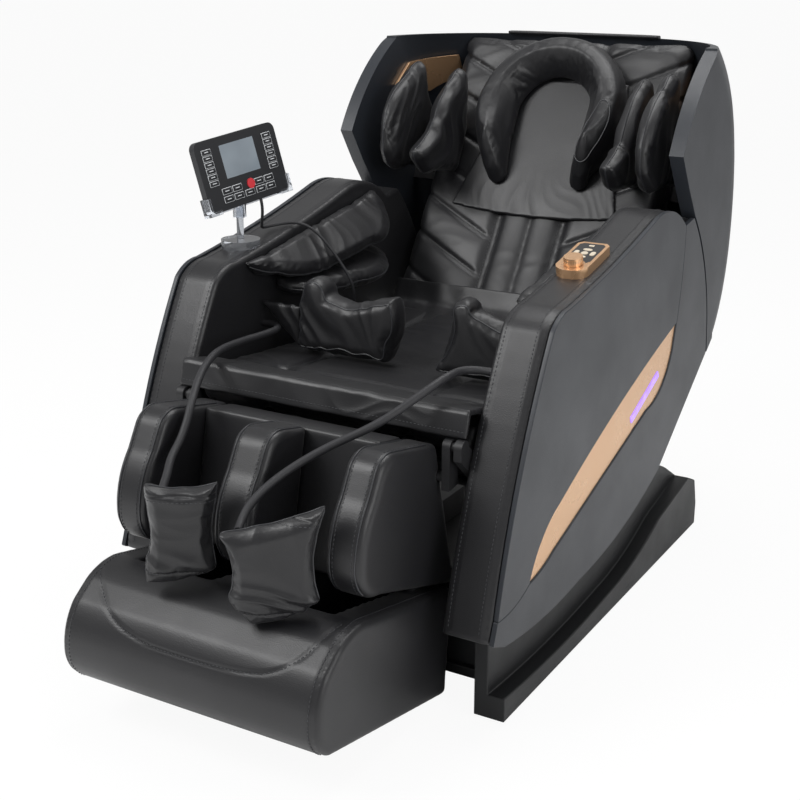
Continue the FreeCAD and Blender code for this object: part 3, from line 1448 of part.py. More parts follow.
def build_pillow():
    """A horseshoe pillow and the mat it is sewn to, both on the slope of the back."""
    low, high = pad_front(float(S.mat_low)), pad_front(float(S.mat_high))
    up = (high - low).normalize()
    slope = math.degrees(math.atan2(up.y, up.z))
    out = Vector(0, -up.z, up.y)
    spot = low + out * float(S.pad_crown_rise + S.gap + 0.4)
    turn = Rotation(Vector(1, 0, 0), -slope)
    half, tip, top = float(S.pillow_half), float(S.pillow_tip), float(S.pillow_top)
    bend = top - half
    mat_front = float(S.flap_thick)
    deep, shallow = float(S.pillow_deep), float(S.pillow_shallow)

    def wedge(u, v, step):
        depth = shallow + (deep - shallow) * (top - v) / (top - tip)
        return Vector(u, -(mat_front + float(S.gap) + depth * step), v)

    wires = []
    for step, drop, widen, lift in (
            (0.0, 6, 4, 8), (0.08, 0, 0, 0), (0.4, 0, 12, 24), (0.7, 4, 28, 58),
            (0.88, 10, 40, 82), (1.0, 20, 51, 102)):
        arch = horseshoe(half - drop, float(S.pillow_hollow) + widen, tip + lift, bend,
                         float(S.pillow_lean))
        wires.append(ring(arch, step, wedge))
    pillow = solid("pillow_shoe", Part.makeLoft(wires, True, True))
    node("pillow", placed(group("pillow", pillow), spot, turn))
    wide, tall = float(S.flap_half), float(S.flap_high)
    mat = [
        (-wide, 8), ("~", 0, -6), (wide, 8), (half - 12, tip + 90), (half - 18, tall),
        (-half + 18, tall), (-half + 12, tip + 90),
    ]
    flap = slab("flap_mat", "XZ", mat, -mat_front, 0)
    node("pillow_mat", placed(group("pillow_mat", flap), spot, turn))


POUCH_RIGHT = (
    (-58, 82), ("~", 4, 76), (68, 86), ("~", 57, 10), (58, -70), ("~", 0, -92), (-64, -96),
    ("~", -54, 0),
)
POUCH_LEFT = (
    (-79, 73), ("~", 4, 90), (92, 122), ("~", 75, 40), (76, -46), ("~", 24, -76), (-34, -86),
    (-66, -46), ("~", -66, 20),
)


def build_leg_rest():
    """Welded leg frame with its crank, the padded calf trough, and the two foot pouches."""
    top = S.spot("leg_tube_top")
    along = leg_direction()
    half = float(S.leg_tube) / 2
    side = Vector(0, along.z, -along.y)
    foot = top + along * float(S.leg_tube_long)
    tube = [(spot.y, spot.z) for spot in (top - side * half, foot - side * half,
                                          foot + side * half, top + side * half)]
    knee_y, knee_z = S.at("knee")
    knee = S.spot("knee")
    pin, travel, rise = swing(knee, float(S.crank_radius), float(S.knee_angle))
    frame = []
    bores = []
    for turn, word in ((1, "left"), (-1, "right")):
        centre = S.leg_tube_x * turn
        frame.append(slab(f"leg_tube_{word}", "YZ", tube, centre - half, centre + half))
        bores.append(aimed_rod(f"leg_bore_{word}", top + Vector(float(centre), 0, 0), along, -1,
                               S.leg_tube_long + 2, S.leg_rod_radius + S.run))
        ear = [
            (knee_y - 12, knee_z), ("~", knee_y, knee_z + 12), (knee_y + 12, knee_z),
            (top.y + half, top.z - 40), (top.y - half, top.z - 44),
        ]
        frame.append(sided(f"leg_ear_{word}", turn, ear,
                           S.arm_plate_outer - S.arm_plate_thick, S.arm_plate_outer))
        frame.append(rod(
            f"knee_pin_{word}", "x",
            S.arm_plate_outer if turn > 0 else -S.plate_outer + S.gap,
            S.plate_outer - S.arm_plate_outer - S.gap, S.pin_radius, S.at("knee")))
    reach = S.arm_plate_outer - S.arm_plate_thick / 2
    brace = top + along * 24
    frame.append(rod("leg_brace", "x", -reach, reach * 2, 9, (brace.y, brace.z)))
    sheet_top = top + along * 14 - side * (half - 10)
    sheet_low = top + along * 110 - side * (half - 10)
    sheet = [(spot.y, spot.z) for spot in (sheet_top, sheet_low, sheet_low - side * 10,
                                           sheet_top - side * 10)]
    frame.append(slab("leg_sheet", "YZ", sheet, -S.leg_tube_x, S.leg_tube_x))
    for number, place in enumerate((S.crank_x - 22, S.crank_x + 12)):
        crank = [
            (sheet_top.y - 1, sheet_top.z), (pin.y, pin.z + 13), ("~", pin.y + 13, pin.z),
            (pin.y, pin.z - 13), (sheet_low.y - 1, sheet_low.z + 30),
        ]
        frame.append(slab(f"crank_{number}", "YZ", crank, place, place + 10))
    frame.append(rod("crank_pin", "x", S.crank_x - 22, 44, S.crank_pin_radius, (pin.y, pin.z)))
    weld = fuse("leg_weld", *frame)
    node("leg_frame", cut("leg_frame", weld, *bores))

    back = [
        *outline("calf_hinge", "calf_back_top", "calf_back_low", "calf_rear"),
    ]
    inner = S.leg_half - S.leg_wall
    weld_tool = fuse("leg_weld_solid", *frame)
    trough = cushion("trough_block", "YZ", back, [
        (place, inset) for place, inset in padded(-inner, inner, 5.0)])
    trough = cut("calf_back", trough, weld_tool)
    node("calf_back", trough)
    full = outline(
        "calf_rear", "calf_floor", "~calf_chin", "calf_nose", "~calf_face", "calf_brow",
        "calf_lid", "~calf_round", "calf_top", "calf_hinge")
    walls = []
    for turn, word in ((1, "left"), (-1, "right")):
        wall = cushion(f"calf_wall_{word}", "YZ", full, [
            (turn * place, inset)
            for place, inset in padded(inner, S.leg_half, float(S.leg_round))])
        walls.append(cut(f"calf_wall_cut_{word}", wall, weld_tool))
    front = outline(
        "calf_back_low", "calf_floor", "~calf_chin", "calf_nose", "~calf_face", "calf_brow",
        "calf_lid", "~calf_round", "calf_top", "calf_back_top")
    walls.append(cushion("calf_wall_middle", "YZ", front, padded(
        -S.leg_middle, S.leg_middle, float(S.leg_round))))
    node("calf_walls", group("calf_walls", *walls))

    pouches = []
    facing = Rotation(Vector(0, 0, 1), float(S.pouch_turn))
    swell = ((-18, 14), (-14, 5), (-5, 0), (5, 0), (14, 5), (18, 14))
    for word, centre, points in (
            ("right", Vector(-62, -697, 377), POUCH_RIGHT), ("left", Vector(125, -710, 345), POUCH_LEFT)):
        pouch = cushion(f"pouch_{word}", "XZ", points, swell)
        pouches.append(placed(group(f"pouch_{word}_set", pouch), centre, facing))
    node("foot_pouches", group("foot_pouches", *pouches))


def build_foot_box():
    """The foot box with its two wells, the sole rollers, and the rods that slide in the legs."""
    profile = outline(
        "sole_rear", "sole_front", "~sole_toe", "sole_nose", "~sole_brow", "sole_cheek",
        "sole_step", "~sole_lip", "sole_rim", "sole_back")
    shell = cushion("foot_shell", "YZ", profile, padded(-S.box_half, S.box_half, 10.0))
    well = [
        (S.well_front, S.sole_rim_z + 60), *outline("well_toe", "well_ball", "well_heel",
                                                    "well_rear"),
        (S.well_rear_y, S.sole_rim_z + 60),
    ]
    tools = []
    roller_y, roller_z = S.at("roller_line")
    for turn, word in ((1, "left"), (-1, "right")):
        tools.append(sided(f"well_{word}", turn, well, S.well_inner, S.well_outer))
        start = S.well_inner + 8 if turn > 0 else -S.well_outer + 8
        tools.append(rod(f"disc_room_{word}", "x", start, S.well_outer - S.well_inner - 16,
                         S.sole_disc_radius + 3, (roller_y, roller_z)))
    shaft_half = S.well_outer + 14
    tools.append(rod("shaft_room", "x", -shaft_half - S.gap, (shaft_half + S.gap) * 2,
                     S.sole_shaft_radius + S.run, (roller_y, roller_z)))
    top = S.spot("leg_tube_top")
    along = leg_direction()
    rods = []
    for turn, word in ((1, "left"), (-1, "right")):
        start = top + Vector(float(S.leg_tube_x) * turn, 0, 0)
        long = S.leg_rod_end - S.leg_rod_start
        rods.append(aimed_rod(f"slide_rod_{word}", start, along, S.leg_rod_start, long,
                              S.leg_rod_radius))
        tools.append(aimed_rod(f"slide_seat_{word}", start, along, S.leg_rod_start, long,
                               S.leg_rod_radius))
    node("foot_box", group("foot_box", cut("foot_shell_open", shell, *tools), *rods))
    shaft = rod("sole_shaft", "x", -shaft_half, shaft_half * 2, S.sole_shaft_radius,
                (roller_y, roller_z))
    discs = []
    for turn in (1, -1):
        for number in range(2):
            place = S.well_inner + 26 + number * 74
            start = place if turn > 0 else -place - S.sole_disc_wide
            discs.append(rod(f"sole_disc_{turn}_{number}", "x", start, S.sole_disc_wide,
                             S.sole_disc_radius, (roller_y, roller_z)))
    node("sole_roller", fuse("sole_roller", shaft, *discs))


HOSE_RIGHT = (
    (-299.6, -124, 556), (-270, -124, 556), (-248, -146, 556), (-246, -194, 557),
    (-250, -262, 560), (-236, -356, 568), (-213, -426, 560), (-193, -475, 543),
    (-170, -520, 526), (-161, -546, 500), (-157, -572, 472), (-150, -608, 454),
    (-124, -650, 441), (-97.4, -695.7, 437),
)
HOSE_LEFT = (
    (299.6, -288, 590), (270, -288, 590), (247, -309, 592), (243, -356, 592),
    (228, -404, 576), (184, -474, 534), (122, -530, 502), (82, -576, 474),
    (64, -622, 454), (57, -668, 434), (60.3, -697.8, 412.5), (72.4, -718.9, 411),
)
CABLE = (
    (-327.3, -83.5, 797.7), (-323.4, -82.5, 782), (-332, -76, 746), (-344, -60, 733),
    (-342, -36, 733), (-322, -14, 737),
    (-294, -2, 740), (-262, 10, 726), (-226, 24, 681), (-190, 36, 622), (-190, 48, 580),
    (-216, 60, 552), (-252, 64, 544), (-299.6, 64, 544),
)


def tube(name, points, radius):
    """A round tube on straight runs joined by tangent arcs, as large as the runs allow."""
    spots = [Vector(*point) for point in points]
    radius = float(radius)
    edges = []
    here = spots[0]
    radii = []
    for before, corner, after in zip(spots, spots[1:], spots[2:]):
        inward, outward = (corner - before), (after - corner)
        run = min(inward.Length, outward.Length)
        inward.normalize()
        outward.normalize()
        turn = inward.getAngle(outward)
        reach = 0.45 * run
        bend = reach / math.tan(turn / 2)
        radii.append(bend)
        start, end = corner - inward * reach, corner + outward * reach
        bisector = (outward - inward).normalize()
        centre = corner + bisector * (bend / math.cos(turn / 2))
        middle = centre + (corner - centre).normalize() * bend
        edges.append(Part.LineSegment(here, start).toShape())
        edges.append(Part.Arc(start, middle, end).toShape())
        here = end
    edges.append(Part.LineSegment(here, spots[-1]).toShape())
    path = Part.Wire(edges)
    heading = (spots[1] - spots[0]).normalize()
    ring = Part.Wire(Part.makeCircle(radius, spots[0], heading))
    shape = path.makePipeShell([ring], True, False)
    print(f"{name}: length {path.Length:.0f}, tightest bend {min(radii):.0f}, "
          f"volume over section and length {shape.Volume / (math.pi * radius ** 2 * path.Length):.4f}")
    return solid(name, shape)


def build_cords():
    node("pouch_hose_right", tube("pouch_hose_right", HOSE_RIGHT, S.hose_radius))
    node("pouch_hose_left", tube("pouch_hose_left", HOSE_LEFT, S.hose_radius))
    node("tablet_cable", tube("tablet_cable", CABLE, S.cable_radius))


def write_nodes():
    """Check every object and every finished piece, and then write each piece to its file."""
    doc.recompute()
    broken = [item.Name for item in doc.Objects if {"Invalid", "Error"} & set(item.State)]
    if broken:
        raise RuntimeError("objects that failed: " + ", ".join(broken))
    for name, item in NODES.items():
        if item.Shape.isNull() or not item.Shape.isValid():
            raise RuntimeError(f"{name} has no valid shape")
    os.makedirs("parts", exist_ok=True)
    for name, item in NODES.items():
        item.Shape.exportStep(f"parts/{name}.step")
    print(len(NODES), "nodes")


build_base()
build_seat_frame()
arm_pads = build_arms()
build_seat()
build_airbags()
build_controller(arm_pads["left"])
build_tablet(arm_pads["right"])
build_back()
build_leg_rest()
build_foot_box()
build_cords()
write_nodes()
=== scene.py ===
"""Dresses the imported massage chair: leatherette upholstery, moulded panels, controls and cords.

Every length is in metres in the chair's own frame: the floor is z = 0, -Y is the front, +X is the
sitter's left.
"""
import math

import bmesh
import bpy
from mathutils import Euler, Matrix, Vector, kdtree, noise
from mathutils.bvhtree import BVHTree


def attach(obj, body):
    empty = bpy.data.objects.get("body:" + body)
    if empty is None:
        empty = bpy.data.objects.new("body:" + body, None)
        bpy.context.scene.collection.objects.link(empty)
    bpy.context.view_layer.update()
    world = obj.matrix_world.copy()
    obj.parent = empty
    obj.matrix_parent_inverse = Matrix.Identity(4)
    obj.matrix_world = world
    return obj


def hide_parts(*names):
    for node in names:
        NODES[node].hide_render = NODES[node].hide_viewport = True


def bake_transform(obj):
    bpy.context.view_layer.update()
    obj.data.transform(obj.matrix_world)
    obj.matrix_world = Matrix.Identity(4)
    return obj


bl_info = {
    "name": "Massage chair",
    "version": (1, 0, 0),
    "blender": (4, 5, 0),
    "location": "View3D > Sidebar > Chair",
    "description": "Upholstery, panels, controls and cords of a massage chair",
    "category": "Object",
}

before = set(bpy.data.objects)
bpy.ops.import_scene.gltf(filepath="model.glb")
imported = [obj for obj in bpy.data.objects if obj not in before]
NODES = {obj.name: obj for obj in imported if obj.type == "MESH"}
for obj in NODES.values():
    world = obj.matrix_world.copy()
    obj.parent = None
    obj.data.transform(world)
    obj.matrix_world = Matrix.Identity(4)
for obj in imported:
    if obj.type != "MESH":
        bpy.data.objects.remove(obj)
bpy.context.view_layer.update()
MM = 0.001
SIDEWAYS, UP = Vector((1, 0, 0)), Vector((0, 0, 1))

# The camera, solved from the base, the arms and the wings in the photograph.
PHOTO_PIXELS = 800
CAMERA_SPOT = Vector((1.2866, -2.2934, 1.2894))
CAMERA_TURN = Euler((math.radians(90 - 18.56), 0, math.radians(30.33)))
FOCAL_PIXELS = 1376.4
# The seam round the front of the foot box, in pixels of the photograph.
FOOT_SEAM_PIXELS = (
    (103, 553), (100, 566), (102.4, 592.7), (112, 620.5), (140, 642.4), (172, 654),
    (205.4, 664.2), (244, 673.4), (273, 673.9), (300, 660.5), (324, 638.7), (345, 622),
)

# Upholstery, in millimetres: the cover is taken in before the cloth is blown up again.
TAKEN_IN = 3.0
LEAF_SLOPE, LEAF_DROOP_LOW, LEAF_DROOP_HIGH = 9, 14, 46     # degrees, as in the CAD
LEAF_TIER = 0.66                                            # between the two leaves of an arm

# The pod on the left arm: its place, its slope in degrees, and its face, in millimetres.
POD_SPOT, POD_SLOPE, POD_FACE = Vector((0.340, -0.024, 0.726)), 11.5, 20
DIAL_CENTRE, DIAL_RIBS = -36, 64
# The tablet: the middle of its face, and its turn, lean and roll in degrees.
TABLET_SPOT, TABLET_TURN = Vector((-0.343, -0.1184, 0.8636)), (80, -13.3, -6.0)

# The routes of the cords, in millimetres, as in part.py.
POUCH_HOSE_RIGHT = (
    (-299.6, -124, 556), (-270, -124, 556), (-248, -146, 556), (-246, -194, 557),
    (-250, -262, 560), (-236, -356, 568), (-213, -426, 560), (-193, -475, 543),
    (-170, -520, 526), (-161, -546, 500), (-157, -572, 472), (-150, -608, 454),
    (-124, -650, 441), (-97.4, -695.7, 437),
)
POUCH_HOSE_LEFT = (
    (299.6, -288, 590), (270, -288, 590), (247, -309, 592), (243, -356, 592),
    (228, -404, 576), (184, -474, 534), (122, -530, 502), (82, -576, 474),
    (64, -622, 454), (57, -668, 434), (60.3, -697.8, 412.5), (72.4, -718.9, 411),
)
TABLET_CABLE = (
    (-327.3, -83.5, 797.7), (-323.4, -82.5, 782), (-332, -76, 746), (-344, -60, 733),
    (-342, -36, 733), (-322, -14, 737),
    (-294, -2, 740), (-262, 10, 726), (-226, 24, 681), (-190, 36, 622), (-190, 48, 580),
    (-216, 60, 552), (-252, 64, 544), (-299.6, 64, 544),
)
HOSE_RADIUS, CABLE_RADIUS = 7.0, 3.0


# ---------------------------------------------------------------- materials

def linear(colour, alpha=1.0):
    """An sRGB hex colour as the linear values that a shader socket takes."""
    values = [int(colour[place:place + 2], 16) / 255 for place in (1, 3, 5)]
    flat = [v / 12.92 if v <= 0.04045 else ((v + 0.055) / 1.055) ** 2.4 for v in values]
    return (*flat, alpha)


def add(tree, kind, settings=None, **sockets):
    """Adds a node to a tree: settings are its properties, sockets its values or links."""
    item = tree.nodes.new(kind)
    for key, value in (settings or {}).items():
        setattr(item, key, value)
    for key, value in sockets.items():
        socket = item.inputs[int(key[1:])] if key[1:].isdigit() and key[0] == "i" else (
            item.inputs[key.replace("_", " ")])
        if isinstance(value, bpy.types.NodeSocket):
            tree.links.new(value, socket)
        else:
            socket.default_value = value
    return item


def blank(name):
    """An empty material, its node tree, and the object coordinates that its patterns use."""
    material = bpy.data.materials.new(name)
    material.use_nodes = True
    tree = material.node_tree
    tree.nodes.clear()
    place = add(tree, "ShaderNodeTexCoord").outputs["Object"]
    return material, tree, place


def finished(material, tree, shader):
    add(tree, "ShaderNodeOutputMaterial", Surface=shader.outputs[0])
    return material


def mixed(tree, factor, first, second):
    """Two hex colours mixed by a factor."""
    tone = add(tree, "ShaderNodeMix", {"data_type": "RGBA"}, Factor=factor)
    tone.inputs["A"].default_value = linear(first)
    tone.inputs["B"].default_value = linear(second)
    return tone.outputs["Result"]


def leatherette(name, colour, lighter, roughness, grain_mm, depth, crease=0.35):
    """Polyurethane leatherette, embossed: pebbled grain, soft creases and a waxy sheen."""
    material, tree, place = blank(name)
    # Grain of about 3 mm: the real one is near 1 mm, too fine to show at this distance.
    cells = add(tree, "ShaderNodeTexVoronoi", {"feature": "DISTANCE_TO_EDGE"}, Vector=place,
                Scale=1 / (grain_mm * MM), Randomness=0.9)
    grain = add(tree, "ShaderNodeMapRange", Value=cells.outputs["Distance"], From_Min=0.0,
                From_Max=0.35, To_Min=0.0, To_Max=1.0)
    # Creases of about 40 mm, where a worn cover slackens over its filling.
    folds = add(tree, "ShaderNodeTexNoise", Vector=place, Scale=25.0, Detail=3.0, Roughness=0.55,
                Distortion=0.6)
    height = add(tree, "ShaderNodeMix", {"data_type": "FLOAT"}, Factor=crease,
                 i2=grain.outputs["Result"], i3=folds.outputs["Fac"])
    bump = add(tree, "ShaderNodeBump", Strength=0.35, Distance=depth * MM,
               Height=height.outputs[0])
    # Handling polishes the high spots, in patches of about 120 mm.
    patches = add(tree, "ShaderNodeTexNoise", Vector=place, Scale=8.0, Detail=4.0)
    tint = mixed(tree, patches.outputs["Fac"], colour, lighter)
    polish = add(tree, "ShaderNodeMapRange", Value=patches.outputs["Fac"], From_Min=0.3,
                 From_Max=0.7, To_Min=roughness + 0.05, To_Max=roughness - 0.05)
    shader = add(tree, "ShaderNodeBsdfPrincipled", Roughness=polish.outputs["Result"],
                 Normal=bump.outputs["Normal"], IOR=1.46, Sheen_Weight=0.04, Sheen_Roughness=0.4,
                 Coat_Weight=0.2, Coat_Roughness=0.3)
    tree.links.new(tint, shader.inputs["Base Color"])
    return finished(material, tree, shader)


def moulded(name, colour, roughness, speck_mm=0.8, depth=0.15, metallic=0.0, coat=0.0):
    """Injection moulded plastic or coated metal: fine spark texture and uneven gloss."""
    material, tree, place = blank(name)
    specks = add(tree, "ShaderNodeTexNoise", Vector=place, Scale=1 / (speck_mm * MM), Detail=2.0)
    bump = add(tree, "ShaderNodeBump", Strength=0.25, Distance=depth * MM,
               Height=specks.outputs["Fac"])
    haze = add(tree, "ShaderNodeTexNoise", Vector=place, Scale=14.0, Detail=3.0)
    gloss = add(tree, "ShaderNodeMapRange", Value=haze.outputs["Fac"], From_Min=0.3, From_Max=0.7,
                To_Min=max(roughness - 0.04, 0.02), To_Max=roughness + 0.05)
    shader = add(tree, "ShaderNodeBsdfPrincipled", Base_Color=linear(colour), Metallic=metallic,
                 Roughness=gloss.outputs["Result"], Normal=bump.outputs["Normal"], IOR=1.5,
                 Coat_Weight=coat, Coat_Roughness=0.08)
    return finished(material, tree, shader)


def drawn_steel(name, colour, roughness):
    """Ground steel rod: fine lines round it that streak the highlight."""
    material, tree, place = blank(name)
    stretch = add(tree, "ShaderNodeMapping", Vector=place, Scale=(60.0, 900.0, 900.0))
    lines = add(tree, "ShaderNodeTexNoise", Vector=stretch.outputs["Vector"], Scale=1.0, Detail=2.0)
    bump = add(tree, "ShaderNodeBump", Strength=0.15, Distance=0.1 * MM,
               Height=lines.outputs["Fac"])
    shader = add(tree, "ShaderNodeBsdfPrincipled", Base_Color=linear(colour), Metallic=1.0,
                 Roughness=roughness, Normal=bump.outputs["Normal"])
    return finished(material, tree, shader)


def acrylic(name, colour, roughness):
    """Smoky clear acrylic, moulded: it lets light through and keeps sharp reflections."""
    material, tree, place = blank(name)
    ripple = add(tree, "ShaderNodeTexNoise", Vector=place, Scale=60.0, Detail=1.0)
    bump = add(tree, "ShaderNodeBump", Strength=0.08, Distance=0.2 * MM,
               Height=ripple.outputs["Fac"])
    shader = add(tree, "ShaderNodeBsdfPrincipled", Base_Color=linear(colour), Roughness=roughness,
                 Normal=bump.outputs["Normal"], IOR=1.49, Transmission_Weight=0.94)
    return finished(material, tree, shader)


def lamp_strip(name, colour, glow, strength):
    """A light strip: a milky diffuser whose glow is mottled between the light's colour and its own.
    """
    material, tree, place = blank(name)
    spots = add(tree, "ShaderNodeTexNoise", Vector=place, Scale=45.0, Detail=1.0)
    shader = add(tree, "ShaderNodeBsdfPrincipled", Base_Color=linear(colour), Roughness=0.3,
                 Emission_Color=linear(glow), Emission_Strength=strength)
    tree.links.new(mixed(tree, spots.outputs["Fac"], glow, colour),
                   shader.inputs["Emission Color"])
    return finished(material, tree, shader)


def display(name):
    """A backlit display behind glass: a dim blue-grey field with cloudy lighter patches."""
    material, tree, place = blank(name)
    cloud = add(tree, "ShaderNodeTexNoise", Vector=place, Scale=22.0, Detail=1.0)
    tone = mixed(tree, cloud.outputs["Fac"], "#5e6770", "#9aa5ad")
    shader = add(tree, "ShaderNodeBsdfPrincipled", Base_Color=linear("#6d757c"), Roughness=0.12,
                 Emission_Strength=0.35, Coat_Weight=0.6, Coat_Roughness=0.05)
    tree.links.new(tone, shader.inputs["Emission Color"])
    return finished(material, tree, shader)


MATERIALS = {}


def finish_for(key):
    """The material of that name, made when it is first asked for."""
    if key in MATERIALS:
        return MATERIALS[key]
    skin, trim = bpy.context.scene.chair_skin, bpy.context.scene.chair_trim
    makers = {
        "leather": lambda: leatherette("Black leatherette, embossed", hexed(skin.colour),
                                       hexed(skin.worn), 0.42, skin.grain * 1000, 0.5),
        "panel": lambda: leatherette("Charcoal leatherette, pressed", hexed(trim.panel),
                                     "#282c33", 0.44, 2.4, 0.25, 0.1),
        "piping": lambda: leatherette("Leatherette piping", "#232427", "#303135", 0.34, 2.0, 0.3),
        "thread": lambda: moulded("Bonded nylon thread", "#3a3b3e", 0.5, 0.6),
        "abs": lambda: moulded("Black ABS, spark textured", hexed(trim.base), 0.46, 0.9, 0.2),
        "gold": lambda: moulded("Rose gold plated ABS", hexed(trim.gold), 0.28, 0.6, 0.05, 0.72,
                                0.3),
        "cream": lambda: moulded("Pearl lacquered ABS key", "#e9dcc6", 0.22, 0.6, 0.05, 0.25, 0.4),
        "fascia": lambda: moulded("Black gloss fascia", "#141416", 0.18, 0.8, 0.05, 0.0, 0.6),
        "light": lambda: lamp_strip("Violet light strip", "#a98cff", hexed(trim.light),
                                    trim.glow),
        "steel": lambda: drawn_steel("Ground steel rod", "#b9babd", 0.22),
        "enamel": lambda: moulded("Black powder coat", "#1d1d1f", 0.5, 0.7, 0.3),
        "cast": lambda: moulded("Cast aluminium, bead blasted", "#8b8d90", 0.45, 0.6, 0.3, 0.9),
        "rubber": lambda: moulded("Moulded rubber", "#141416", 0.7, 1.2, 0.4),
        "hose": lambda: moulded("Knitted hose sleeve", "#262629", 0.55, 1.4, 0.8),
        "clear": lambda: acrylic("Smoky acrylic", "#e4e8ee", 0.04),
        "tablet": lambda: moulded("Dark grey ABS, fine texture", "#26272a", 0.36, 0.8, 0.1),
        "display": lambda: display("Backlit display"),
        "red": lambda: moulded("Red gloss ABS", "#d8323c", 0.2, 0.8, 0.05, 0.0, 0.5),
        "white": lambda: moulded("White screen print", "#d7dadd", 0.5, 0.8, 0.02),
        "wheel": lambda: moulded("Grey nylon roller", "#8f8b84", 0.4, 1.0, 0.2),
        "dark": lambda: moulded("Black ABS box", "#242427", 0.5, 1.0, 0.2),
    }
    MATERIALS[key] = makers[key]()
    return MATERIALS[key]


def hexed(colour):
    """A linear colour property as sRGB hex."""
    values = [v * 12.92 if v <= 0.0031308 else 1.055 * v ** (1 / 2.4) - 0.055 for v in colour[:3]]
    return "#" + "".join(f"{max(0, min(255, round(v * 255))):02x}" for v in values)


# ---------------------------------------------------------------- making pieces

def linked(name, mesh, key, body):
    """A new piece in the scene, with the material of its key, riding on its body if it has one."""
    piece = bpy.data.objects.new(name, mesh)
    bpy.context.scene.collection.objects.link(piece)
    piece.data.materials.clear()
    piece.data.materials.append(finish_for(key))
    if body:
        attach(piece, body)
    return piece


def made(name, shape):
    """A new mesh from a bmesh, which is freed."""
    mesh = bpy.data.meshes.new(name)
    shape.to_mesh(mesh)
    shape.free()
    return mesh


def banded(shape, low, high):
    """Faces all round between two rings of vertices."""
    for place, near in enumerate(low):
        after = (place + 1) % len(low)
        shape.faces.new((near, low[after], high[after], high[place]))


def cad_mesh(node):
    """A copy of a CAD node's mesh with its split vertices joined."""
    shape = bmesh.new()
    shape.from_mesh(NODES[node].data)
    bmesh.ops.remove_doubles(shape, verts=shape.verts, dist=0.01 * MM)
    return made(node + "_cover", shape)


def islands(mesh):
    """The separate solids of a mesh, as meshes of their own, from low x to high x."""
    shape = bmesh.new()
    shape.from_mesh(mesh)
    shape.verts.ensure_lookup_table()
    seen, groups = set(), []
    for vertex in shape.verts:
        if vertex.index in seen:
            continue
        todo, members = [vertex], set()
        while todo:
            here = todo.pop()
            if here.index in seen:
                continue
            seen.add(here.index)
            members.add(here.index)
            todo.extend(edge.other_vert(here) for edge in here.link_edges)
        groups.append(members)
    results = []
    for members in groups:
        part = shape.copy()
        part.verts.ensure_lookup_table()
        bmesh.ops.delete(part, geom=[v for v in part.verts if v.index not in members],
                         context="VERTS")
        results.append(made("island", part))
    shape.free()
    results.sort(key=lambda m: sum(v.co.x for v in m.vertices) / len(m.vertices))
    return results


def evaluated(piece):
    """A mesh of the piece with its modifiers, or of a curve with its bevel."""
    graph = bpy.context.evaluated_depsgraph_get()
    return bpy.data.meshes.new_from_object(piece.evaluated_get(graph), depsgraph=graph)


def applied(piece):
    """Turns the piece's modifiers into its mesh."""
    mesh = evaluated(piece)
    piece.modifiers.clear()
    piece.data = mesh
    return piece


def smooth_shaded(piece):
    piece.data.polygons.foreach_set("use_smooth", [True] * len(piece.data.polygons))
    piece.data.update()
    return piece


def upholstered(piece, voxel, rounds):
    """Even small faces over the whole form, relaxed so that every edge rolls over softly."""
    remesh = piece.modifiers.new("Even faces", "REMESH")
    remesh.mode = "VOXEL"
    remesh.voxel_size = voxel * MM
    if rounds:
        relax = piece.modifiers.new("Soft edges", "SMOOTH")
        relax.factor = 0.5
        relax.iterations = rounds
    return smooth_shaded(applied(piece))


def upholstery(name, mesh, voxel, rounds, taken_in=0.0):
    """A leatherette cover over a mesh, taken in by so many millimetres."""
    piece = upholstered(linked(name, mesh, "leather", None), voxel, rounds)
    return moved(piece, lambda place, normal: -taken_in * MM) if taken_in else piece


def stuffed(piece, body, fill, *nodes):
    """Rides a cover on its body and hides the nodes it stands for. The fill, how full it is, is not
    used.
    """
    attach(piece, body)
    if nodes:
        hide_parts(*nodes)


def moved(piece, shift):
    """Moves each vertex along its normal by what shift(place, normal) gives, in metres."""
    mesh = piece.data
    normals = [vertex.normal.copy() for vertex in mesh.vertices]
    for vertex, normal in zip(mesh.vertices, normals):
        step = shift(vertex.co, normal)
        if step:
            vertex.co += normal * step
    mesh.update()
    return piece


def swelled(pieces, cap, pressure=3.0, frames=16):
    """Blows the covers up like cloth over foam; no point moves by more than the cap, in mm."""
    scene = bpy.context.scene
    starts = {}
    for piece in pieces:
        starts[piece.name] = [vertex.co.copy() for vertex in piece.data.vertices]
        cloth = piece.modifiers.new("Cover", "CLOTH")
        cloth.settings.quality = 4
        cloth.settings.tension_stiffness = 12
        cloth.settings.compression_stiffness = 12
        cloth.settings.bending_stiffness = 0.6
        cloth.settings.use_pressure = True
        cloth.settings.uniform_pressure_force = pressure
        cloth.settings.effector_weights.gravity = 0
        cloth.collision_settings.use_collision = False
        cloth.point_cache.frame_start = 1
        cloth.point_cache.frame_end = frames
    for number in range(1, frames + 1):
        scene.frame_set(number)
    for piece in pieces:
        applied(piece)
        for vertex, start in zip(piece.data.vertices, starts[piece.name]):
            step = vertex.co - start
            if step.length > cap * MM:
                vertex.co = start + step.normalized() * cap * MM
        smooth_shaded(piece)
    scene.frame_set(1)


def refined(piece):
    """Splits every face once, on the smooth surface through them."""
    fine = piece.modifiers.new("Fine", "SUBSURF")
    fine.levels = fine.render_levels = 1
    return smooth_shaded(applied(piece))


def middle_of(piece):
    return sum((vertex.co for vertex in piece.data.vertices), Vector()) / len(
        piece.data.vertices)


def ridges(place, across, along, seed):
    """Leather folds: sharp crests that run along one direction, between -1 and 1."""
    spot = Vector((place.dot(across) * 26 + seed, place.dot(along) * 7, seed * 3.1))
    bend = noise.noise(place * 9 + Vector((seed, 0, 0))) * 1.6
    value = noise.noise(spot + Vector((bend, 0, 0)))
    return 1 - 2.4 * abs(value)


